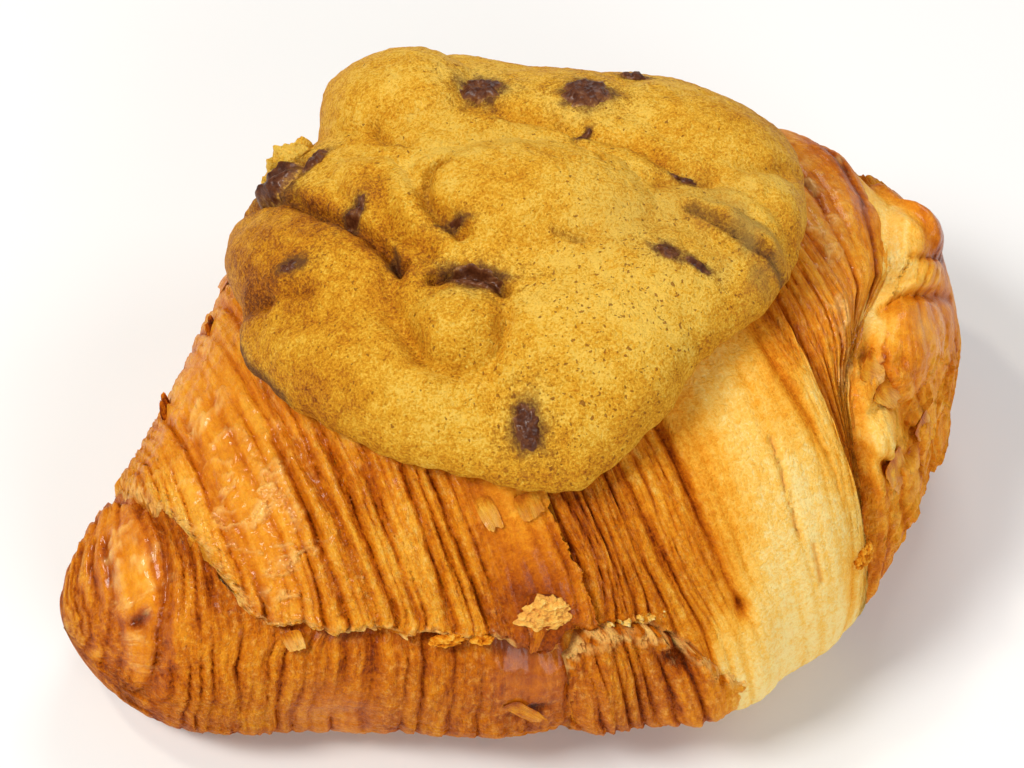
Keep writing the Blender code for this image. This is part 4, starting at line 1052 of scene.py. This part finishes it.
crumb_lump("torn_crumb", on_left, -17.2, 30.0, 3.8, 3.6, 0.9, 91, 0.36, 0.45)
crumb_lump("block_crumb_1", core_relief, -4.0, 23.5, 5.5, 1.3, 2.6, 95)
crumb_lump("corner_crumb", on_right, 33.5, 15.5, 2.4, 2.4, 0.9, 97, 0.48)
crumb_lump("rim_crumb_1", on_left, -51.7, 131, 1.0, 1.6, 1.5, 99, 0.80)
crumb_lump("rim_crumb_2", on_left, -40.2, 133, 0.8, 1.3, 1.2, 101, 0.80)
crumb_lump("rim_crumb_3", on_left, -30.8, 27.6, 2.4, 1.5, 0.7, 103, 0.46)
crumb_lump("rim_crumb_4", on_left, -26.2, 26.6, 1.5, 1.2, 0.7, 105, 0.50)

# %% [markdown]
# ## The cookie
# The dough has melted over the croissant's back, so the cookie is a thick disc whose underside
# follows the crust.  It is made from a sphere: its top pole becomes the middle of the top, its
# rings run out to the round rim, and the lower half is tucked underneath.

# %% Cookie: outline and section
COOKIE_MIDDLE = (6.0, 6.0)
COOKIE_OUTLINE = [(0, 46), (12, 43.4), (24, 39.4), (36, 35.6), (47, 32.6), (60, 32.0), (70, 35.2),
                  (80, 44.4), (88, 48.0), (95, 48.2), (102, 46.2), (109, 42.4), (114, 40.0), (119, 39.0),
                  (125, 40.2), (131, 43.0), (138, 45.4), (147, 46.0), (157, 44.8), (165, 42.8), (172, 45.4),
                  (180, 45.2), (190, 44), (205, 42.4), (223, 41.8), (240, 42.4), (253, 42.4), (273, 38),
                  (283, 35), (290, 34), (300, 36), (313, 38.6), (330, 40.4), (348, 43.6)]
COOKIE_SECTION = [(0.0, 8.4), (0.2, 8.4), (0.4, 8.4), (0.50, 8.3), (0.59, 8.2), (0.68, 8.1), (0.76, 7.8),
                  (0.83, 7.4), (0.89, 6.8), (0.94, 5.9), (0.975, 4.7), (0.998, 3.3), (1.0, 2.0),
                  (0.985, 1.0), (0.955, 0.45), (0.88, 0.45), (0.5, 0.45), (0.0, 0.45)]
cookie_radius = smooth_curve([(a + turn, r) for turn in (-360, 0, 360) for a, r in COOKIE_OUTLINE], 3.0)

# %% [markdown]
# ### Lobes and creases
# The ball of dough was lumpy and torn, and its lobes show on the baked top.  Each lobe is a low
# dome over an oval of the plan.  Where two meet, the higher one wins, which leaves a natural valley
# between them, and the sharpest folds and the torn seam are cut in along their own lines.

# %% Cookie: lobes of its top
COOKIE_LOBES = [
    (-12.8, -9.6, 6.8, 5.9, -30, 3.9, 0.95), (-26.5, 15.0, 16.0, 9.0, -63, 3.3, 0.8),
    (-28.0, -7.0, 20.0, 11.0, -56, 2.6, 1.0), (4.5, -21.5, 18.0, 14.5, -20, 3.5, 1.1),
    (6.5, 5.5, 18.0, 10.0, -38, 4.2, 0.8), (-11.0, 16.5, 11.0, 4.2, 98, 2.9, 0.9),
    (-0.5, 38.8, 13.0, 10.5, -46, 5.2, 0.75), (37.0, 8.0, 15.0, 8.0, -54, 2.6, 0.9),
    (37.0, -9.0, 9.5, 6.5, -57, 2.7, 0.9), (29.5, -13.0, 9.5, 3.6, -57, 3.2, 0.9),
    (20.0, 22.0, 13.0, 8.0, -40, 1.6, 1.0), (14.0, -14.0, 14.0, 9.0, -50, 2.6, 1.1),
    (-17.0, 40.0, 7.0, 5.0, -40, 1.0, 1.0)]
COOKIE_CREASES = [
    (3.2, 0.9, [(-28, 35), (-24, 29.5), (-21.2, 25.8), (-19.9, 21.6), (-18.8, 17.4), (-16.5, 10.6),
                (-15.4, 6.7), (-14.6, 3.6)]),
    (1.3, 1.6, [(-15.4, 3.5), (-18.1, -0.5), (-19.1, -4.9), (-19.3, -9.9)]),
    (0.9, 1.4, [(-18.4, -6.5), (-18.6, -9.5), (-18.0, -12.3), (-15.2, -14.7), (-12.2, -15.4)]),
    (0.6, 1.0, [(-9.2, -14.9), (-6.6, -11.7), (-5.4, -8.0)]),
    (2.6, 1.0, [(-11.4, -1.5), (-7.8, -2.7), (-5.6, -5.1), (-4.7, -7.6)]),
    (2.0, 1.0, [(-1.8, 14.8), (-4.2, 14.8), (-6.2, 13.0), (-7.0, 10.1), (-6.3, 7.3), (-4.9, 4.1)]),
    (1.4, 1.6, [(-10.4, 19.4), (-12.4, 13.5), (-13.3, 10.0), (-11.7, 5.7), (-10.6, 2.7)]),
    (1.1, 0.8, [(-5.2, 30.3), (-6.4, 28.1), (-6.0, 25.7), (-3.8, 22.9)]),
    (1.7, 1.1, [(-41, 18.5), (-38, 16.5), (-34.6, 14.1), (-31.5, 11.6)]),
    (1.1, 1.2, [(-31.5, 11.6), (-28.0, 9.0), (-25.5, 7.0)]),
    (0.9, 1.2, [(-7.1, -12.0), (-9.5, -15.1), (-12.5, -19.4), (-14.1, -21.5)]),
    (0.8, 0.5, [(16.1, 16.2), (16.4, 9.5), (17.0, 5.2)]),
    (0.8, 0.5, [(5.0, -3.1), (6.3, -4.7), (8.3, -6.5)]),
    (1.6, 0.8, [(24.9, -7.4), (26.3, -10.5), (27.5, -12.7), (29.8, -15.9), (32.0, -18.0), (34.4, -20.5)]),
    (1.2, 1.4, [(24, -1.5), (30.9, -2.7), (35.0, -9.3), (37.2, -14.6), (36.4, -20)]),
    (1.4, 1.3, [(6, 26), (12, 20), (16, 15), (22, 8.5), (28, 0)]),
    (1.4, 1.0, [(-24, 35), (-20, 32), (-16, 31.5)]),
    (1.0, 1.4, [(29.7, -2.8), (34.6, -3.4), (40.3, -3.0), (47, -4)])]


def cookie_rise(x, y):
    """How far the cookie's top rises above, or dips below, its even thickness."""
    bent_x = x + 0.9 * ripple(x * 0.12, y * 0.12, 71) + 0.45 * ripple(x * 0.4, y * 0.4, 72)
    bent_y = y + 0.9 * ripple(x * 0.12, y * 0.12, 73) + 0.45 * ripple(x * 0.4, y * 0.4, 74)
    rise = lobes_over(bent_x, bent_y, COOKIE_LOBES)
    for depth, half_width, path in COOKIE_CREASES:
        rise = rise - depth * np.exp(-(distance_to_path(bent_x, bent_y, path) / half_width) ** 2)
    return rise


def cookie_point(x, y, height):
    """A point at a height above the smooth crust, square to it."""
    return np.stack([x, y, crust_height(x, y)], -1) + crust_normal(x, y) * np.asarray(height)[..., None]


# %% Chips: where they lie
CHIPS = [(9.7, 27.8, 3.2, 2.6, -35, 0.4), (22.1, 18.7, 3.5, 2.8, -20, 0.5),
         (31.7, 21.8, 2.2, 0.9, -35, 0.3), (-20.3, 31.6, 3.9, 3.0, 40, 1.3),
         (-15.4, 30.2, 2.6, 0.9, 19, 0.6), (-16.1, 15.9, 2.7, 1.2, 19, 0.0),
         (-26.1, 12.0, 2.0, 1.0, -20, -0.30), (-7.1, -3.8, 4.3, 1.8, -42, 0.3),
         (-5.5, 5.7, 2.0, 0.9, -30, -0.2), (27.3, -1.0, 2.2, 0.7, -38, 0.0),
         (18.0, -13.1, 1.9, 1.3, -50, 0.1), (21.0, -16.2, 2.2, 0.8, -50, 0.0),
         (-10.3, -25.3, 3.0, 2.1, 68, 0.1), (18.4, 12.1, 1.5, 0.7, 20, 0.0),
         (-15.2, 5.7, 1.5, 0.8, 60, -0.3)]


def chip_distance(x, y, chip):
    """How far points of the plan are from a chip's middle, in chip sizes, with an uneven edge."""
    chip_x, chip_y, half_length, half_width, turn, _ = chip
    cosine, sine = math.cos(math.radians(turn)), math.sin(math.radians(turn))
    u = ((x - chip_x) * cosine + (y - chip_y) * sine) / half_length
    v = ((y - chip_y) * cosine - (x - chip_x) * sine) / half_width
    far = np.hypot(u, v)
    return far * (1 + 0.34 * ripple(u / (far + 0.3) * 1.6, v / (far + 0.3) * 1.6, chip_x)
                  + 0.16 * ripple(x * 0.9, y * 0.9, 77))


# %% Cookie: the body
bpy.ops.object.select_all(action="DESELECT")
bpy.ops.mesh.primitive_uv_sphere_add(segments=420, ring_count=230, radius=1)
cookie = bpy.context.object
cookie.name = cookie.data.name = "cookie_top"
ball = np.empty(len(cookie.data.vertices) * 3)
cookie.data.vertices.foreach_get("co", ball)
ball = ball.reshape(-1, 3)
down_the_ball = np.arccos(np.clip(ball[:, 2], -1, 1)) / np.pi
direction = np.degrees(np.arctan2(ball[:, 1], ball[:, 0]))
section = np.array(COOKIE_SECTION)
lengths = np.concatenate([[0], np.cumsum(np.hypot(np.diff(section[:, 0] * 42), np.diff(section[:, 1])))])
walked = np.interp(down_the_ball, [0, 0.88, 1], [0, lengths[14], lengths[-1]])
share = smooth_curve(np.stack([lengths, section[:, 0]], -1), 1.0)(walked)
height = smooth_curve(np.stack([lengths, section[:, 1]], -1), 1.0)(walked)
share = np.where(down_the_ball < 1e-6, 0, np.where(down_the_ball > 1 - 1e-6, 0, share))
rim_wave = 0.6 * ripple(direction * 0.08, 0.5, 50) + 0.35 * ripple(direction * 0.25, 0.5, 51)
reach = share * (cookie_radius(np.mod(direction, 360)) + rim_wave * share ** 4)
x = COOKIE_MIDDLE[0] + reach * np.cos(np.radians(direction))
y = COOKIE_MIDDLE[1] + reach * np.sin(np.radians(direction))
on_top = np.clip((height - 2.5) / 4.0, 0.0, 1.0)
rise = cookie_rise(x, y)
grain = 0.25 * crumple(x * 0.16, y * 0.16, 3, 60) + 0.12 * ripple(x * 0.9, y * 0.9, 66) \
    + 0.07 * ripple(x * 2.2, y * 2.2, 67)
chip_near = np.min([chip_distance(x, y, chip) for chip in CHIPS], axis=0)
smears = [(1.1, 0.80, [(24.9, -7.4), (26.3, -10.5), (27.5, -12.7), (29.8, -15.9), (32.0, -18.0),
                       (34.6, -21.5)]),
          (0.45, 1.30, [(27.8, -13.2), (29.8, -15.9), (32.0, -18.0), (34.6, -21.5)]),
          (0.7, 0.50, [(-1.8, 14.8), (-4.2, 14.8), (-6.2, 13.0), (-7.0, 10.1), (-6.3, 7.3)]),
          (0.6, 0.40, [(-5.2, 30.3), (-6.4, 28.1), (-6.0, 25.7), (-3.8, 22.9)]),
          (0.6, 0.45, [(5.0, -3.1), (6.3, -4.7), (8.3, -6.5)]),
          (0.6, 0.70, [(-21.6, 26.5), (-20.2, 21.6), (-18.9, 17.4)])]
smeared = np.max([strength * np.exp(-(distance_to_path(x, y, path) / width) ** 2)
                  for width, strength, path in smears], axis=0)
place_points(cookie, cookie_point(x, y, height + on_top * (rise + grain)))
# Painted shade: the tone darkens along each crease of the top.
crease_shade = np.zeros(len(x))
for depth, half_width, path in COOKIE_CREASES:
    crease_shade = np.maximum(crease_shade, depth / 2.6
                         * np.exp(-(distance_to_path(x, y, path) / (half_width + 0.9)) ** 2))


def plan_bump(middle_x, middle_y, half_x, half_y):
    """1 in the middle of an oval of the plan, falling softly to 0 outside it."""
    return np.exp(-((x - middle_x) / half_x) ** 2 - ((y - middle_y) / half_y) ** 2)


def bumps(spots):
    """A sum of round bumps over the plan, each with its strength, middle and half sizes."""
    return sum(strength * plan_bump(*where) for strength, *where in spots)


tan = bumps([(1.35, -27.5, 15.5, 8, 9), (0.62, -27, -4, 12, 9), (0.35, -14, -30, 16, 4),
             (0.55, -13, 12, 5, 12), (0.35, -2, 42, 16, 8), (0.25, 40, 6, 10, 12), (0.30, 22, 24, 10, 8),
             (0.35, 4, 6, 9, 6), (0.22, -14, -9, 6, 5)])
pale = bumps([(0.5, 12, 18, 16, 6), (0.5, 13, 15, 8, 4), (0.6, 36, -6, 7, 7), (0.30, 9, -20, 14, 10),
              (0.4, -16, -20, 6, 8), (0.3, 14, -4, 9, 6)])
turned = np.mod(direction, 360)
rim_line = np.exp(-((height - 3.6) / 1.3) ** 2) * step_up(turned, 167, 175) \
    * step_up(-turned, -196, -188) * (down_the_ball < 0.9)
smeared = np.maximum(smeared, 1.1 * rim_line)
greyed = plan_bump(30, -15, 5, 8) * step_up(ripple(x * 0.3, y * 0.3, 75), -0.6, 0.4) \
    + 0.35 * plan_bump(20, -6, 12, 6)
beyond_chip = np.clip(chip_near - 0.70, 0, 9)
write_values(cookie, {
    "rim": step_up(share, 0.80, 1.0) * (down_the_ball < 0.9) + (down_the_ball > 0.88),
    "golden": np.clip(0.42 + 0.30 * crumple(x * 0.06, y * 0.06, 3, 70) + tan - 0.5 * pale, 0, 1.5),
    "crease_shade": np.clip(crease_shade, 0, 1) * on_top,
    "greyed": greyed * on_top,
    "chocolaty": np.clip(np.maximum(np.maximum(np.exp(-beyond_chip ** 2 / 0.45), smeared),
                                    0.38 * np.exp(-beyond_chip ** 2 / 3.0))
                         * np.clip((height - 1.2) / 2, 0, 1), 0, 1),
    "porous": np.clip(0.12 + bumps([(0.95, 10, -17, 22, 13), (0.8, -8, -30, 20, 5), (0.6, -28, 8, 8, 8)]),
                      0, 1) * on_top})


# %% [markdown]
# ### Cookie finish
# Baked cookie dough is matt and sandy.  Its yellow turns golden and tan where it is higher and at
# the rim, small torn pores show as brown dots, and near each chip the dough is specked and greyed
# by chocolate.  Along the creases the tone is darker as painted shade.

# %% Cookie material
def cookie_material():
    finish, tree, shader = new_material("baked_cookie")
    where = add_node(tree, "ShaderNodeTexCoord").outputs["Object"]
    mottle = noise_at(tree, where, 230.0, 4.0, 0.6)
    blotch = noise_at(tree, where, 800.0, 3.0, 0.6)
    sand = noise_at(tree, where, 2500.0, 3.0, 0.7)
    # The crease value darkens the tone as painted shade.
    tone = weighted(tree, -0.02, (attribute(tree, "golden"), 0.42), (attribute(tree, "rim"), 0.24),
                    (attribute(tree, "crease_shade"), 0.42), (mottle, 0.80), (blotch, 0.52), (sand, 1.55))
    colour = colour_ramp(tree, tone, [(0.0, (0.88, 0.55, 0.085)), (0.2, (0.80, 0.42, 0.030)),
                                      (0.42, (0.67, 0.29, 0.010)), (0.65, (0.49, 0.165, 0.005)),
                                      (0.85, (0.30, 0.080, 0.004)), (1.0, (0.16, 0.040, 0.004))])
    wobble = add_node(tree, "ShaderNodeTexNoise", {"Vector": where, "Scale": 900.0}).outputs["Color"]
    shift = add_node(tree, "ShaderNodeVectorMath", {0: wobble, 1: (0.0016, 0.0016, 0.0016)},
                     operation="MULTIPLY").outputs["Vector"]
    warped = add_node(tree, "ShaderNodeVectorMath", {0: where, 1: shift})
    cells = add_node(tree, "ShaderNodeTexVoronoi", {"Vector": warped.outputs["Vector"], "Scale": 1180.0})
    chosen = add_node(tree, "ShaderNodeSeparateColor", {"Color": cells.outputs["Color"]})
    size = add_node(tree, "ShaderNodeMapRange",
                    {"Value": chosen.outputs["Green"], "To Min": 0.08, "To Max": 0.34})
    pore = maths(tree, "LESS_THAN", cells.outputs["Distance"], size.outputs["Result"])
    shown = maths(tree, "LESS_THAN", chosen.outputs["Red"],
                  maths(tree, "MULTIPLY", attribute(tree, "porous"), 0.70))
    pore = maths(tree, "MULTIPLY", pore, shown)
    colour = mix_colour(tree, maths(tree, "MULTIPLY", pore, 0.80), colour, (0.28, 0.085, 0.007))
    near_chip = weighted(tree, -0.16, (attribute(tree, "chocolaty"), 0.95), (sand, 0.9), (blotch, 0.8))
    speck = maths(tree, "MULTIPLY", near_chip, 1.2)
    speck = maths(tree, "MULTIPLY", speck, maths(tree, "GREATER_THAN", attribute(tree, "chocolaty"), 0.03))
    colour = mix_colour(tree, speck, colour, (0.15, 0.058, 0.016))
    grey = weighted(tree, 0.0, (attribute(tree, "greyed"), 0.7))
    colour = mix_colour(tree, grey, colour, (0.36, 0.22, 0.055))
    tree.links.new(colour, shader.inputs["Base Color"])
    shader.inputs["Roughness"].default_value = 0.55
    shader.inputs["Specular IOR Level"].default_value = 0.12
    coarse = add_node(tree, "ShaderNodeBump", {"Height": blotch, "Distance": 0.7 * MM})
    fine = add_node(tree, "ShaderNodeBump", {"Height": weighted(tree, 0.0, (sand, 1.0), (pore, -0.6)),
                                             "Distance": 0.55 * MM, "Normal": coarse.outputs["Normal"]})
    tree.links.new(fine.outputs["Normal"], shader.inputs["Normal"])
    shader.inputs["Subsurface Weight"].default_value = 0.06
    shader.inputs["Subsurface Radius"].default_value = (1.0, 0.5, 0.15)
    shader.inputs["Subsurface Scale"].default_value = 1.5 * MM
    return finish


bpy.ops.object.shade_smooth()
finish_piece(cookie, cookie_material(), "cookie", "cookie")


# %% [markdown]
# ## Chocolate chips
# The chips have melted and set again nearly level with the dough, which has torn and closed in
# round them.  A ball of points is laid at each chip's place.  Its upper half follows the cookie's
# top, swells in the middle and dives below the dough at its uneven edge, and its lower half is
# hidden in the dough.

# %% Chips
def chocolate_material():
    finish, tree, shader = new_material("set_chocolate")
    where = add_node(tree, "ShaderNodeTexCoord").outputs["Object"]
    bloom = noise_at(tree, where, 700.0, 4.0, 0.6)
    grain = noise_at(tree, where, 2600.0, 3.0, 0.65)
    tone = weighted(tree, 0.38, (bloom, 1.2), (grain, 0.6), (attribute(tree, "dusty"), 0.5))
    colour = colour_ramp(tree, tone, [(0.2, (0.048, 0.011, 0.003)), (0.42, (0.090, 0.024, 0.007)),
                                      (0.62, (0.15, 0.050, 0.014)), (0.80, (0.28, 0.13, 0.034)),
                                      (0.95, (0.62, 0.33, 0.05))])
    tree.links.new(colour, shader.inputs["Base Color"])
    rough = add_node(tree, "ShaderNodeMapRange", {"Value": bloom, "From Min": -0.25, "From Max": 0.25,
                                                  "To Min": 0.22, "To Max": 0.60})
    tree.links.new(rough.outputs["Result"], shader.inputs["Roughness"])
    shader.inputs["Specular IOR Level"].default_value = 0.15
    shader.inputs["Coat Weight"].default_value = 0.20
    shader.inputs["Coat Roughness"].default_value = 0.18
    bump = add_node(tree, "ShaderNodeBump",
                    {"Height": weighted(tree, 0.0, (bloom, 1.0), (grain, 0.3)), "Distance": 0.28 * MM})
    tree.links.new(bump.outputs["Normal"], shader.inputs["Normal"])
    return finish


chocolate_finish = chocolate_material()
CHIP_DEPTH = 2.2
CHIP_EDGE_DEPTH = 1.15
shares, heights = section[:13].T


def cookie_level(x, y):
    """Height of the cookie's top above the crust at points of the plan."""
    away_x, away_y = x - COOKIE_MIDDLE[0], y - COOKIE_MIDDLE[1]
    rim_radius = cookie_radius(np.degrees(np.arctan2(away_y, away_x)) % 360)
    even = np.interp(np.hypot(away_x, away_y) / rim_radius, shares, heights)
    uneven = cookie_rise(x, y) + 0.25 * crumple(x * 0.16, y * 0.16, 3, 60)
    return even + np.clip((even - 2.5) / 4, 0, 1) * uneven


for number, chip in enumerate(CHIPS):
    chip_x, chip_y, half_length, half_width, turn, proud = chip
    bpy.ops.object.select_all(action="DESELECT")
    bpy.ops.mesh.primitive_uv_sphere_add(segments=72, ring_count=44, radius=1)
    lump = bpy.context.object
    lump.name = lump.data.name = f"chip_{number + 1}"
    ball = np.array([v.co for v in lump.data.vertices])
    cosine, sine = math.cos(math.radians(turn)), math.sin(math.radians(turn))
    u, v = ball[:, 0] * half_length, ball[:, 1] * half_width
    far = np.hypot(ball[:, 0], ball[:, 1])
    turned = np.arctan2(ball[:, 1], ball[:, 0])
    spread = 1.12 + 0.30 * ripple(np.cos(turned) * 1.5, np.sin(turned) * 1.5, chip_x) \
        + 0.12 * ripple(np.cos(turned) * 4.5, np.sin(turned) * 4.5, number)
    x, y = chip_x + spread * (u * cosine - v * sine), chip_y + spread * (u * sine + v * cosine)
    uneven = 0.35 * ripple(x * 0.7, y * 0.7, number) + 0.20 * ripple(x * 1.6, y * 1.6, number + 9)
    top = proud + 0.35 + uneven - (1.5 + proud) * far ** 5
    bottom = -CHIP_EDGE_DEPTH - (CHIP_DEPTH - CHIP_EDGE_DEPTH) * -ball[:, 2]
    place_points(lump, cookie_point(x, y, cookie_level(x, y) + np.where(ball[:, 2] > 0, top, bottom)))
    write_values(lump, {"dusty": step_up(far, 0.55, 1.0)})
    bpy.ops.object.shade_smooth()
    finish_piece(lump, chocolate_finish, "chocolate")

# %% A rag of torn dough behind the largest chip
bpy.ops.object.select_all(action="DESELECT")
bpy.ops.mesh.primitive_ico_sphere_add(subdivisions=5, radius=1)
rag = bpy.context.object
rag.name = rag.data.name = "torn_dough"
ball = np.array([v.co for v in rag.data.vertices])
rag_x, rag_y, rag_half_length, rag_half_width = -17.4, 35.6, 3.6, 1.9
x = rag_x + rag_half_length * ball[:, 0] * (1 + 0.4 * ripple(ball[:, 0] * 1.5, ball[:, 1] * 1.5, 4))
y = rag_y + rag_half_width * ball[:, 1] * (1 + 0.4 * ripple(ball[:, 0] * 1.5, ball[:, 1] * 1.5, 5))
lumpy = ball[:, 2] * (2.4 + 1.5 * crumple(x * 0.6, y * 0.6, 3, 6))
place_points(rag, cookie_point(x, y, cookie_level(x, y) + 0.3 + lumpy))
write_values(rag, {"golden": 0.2})
bpy.ops.object.shade_smooth()
finish_piece(rag, cookie.data.materials[0], "cookie")
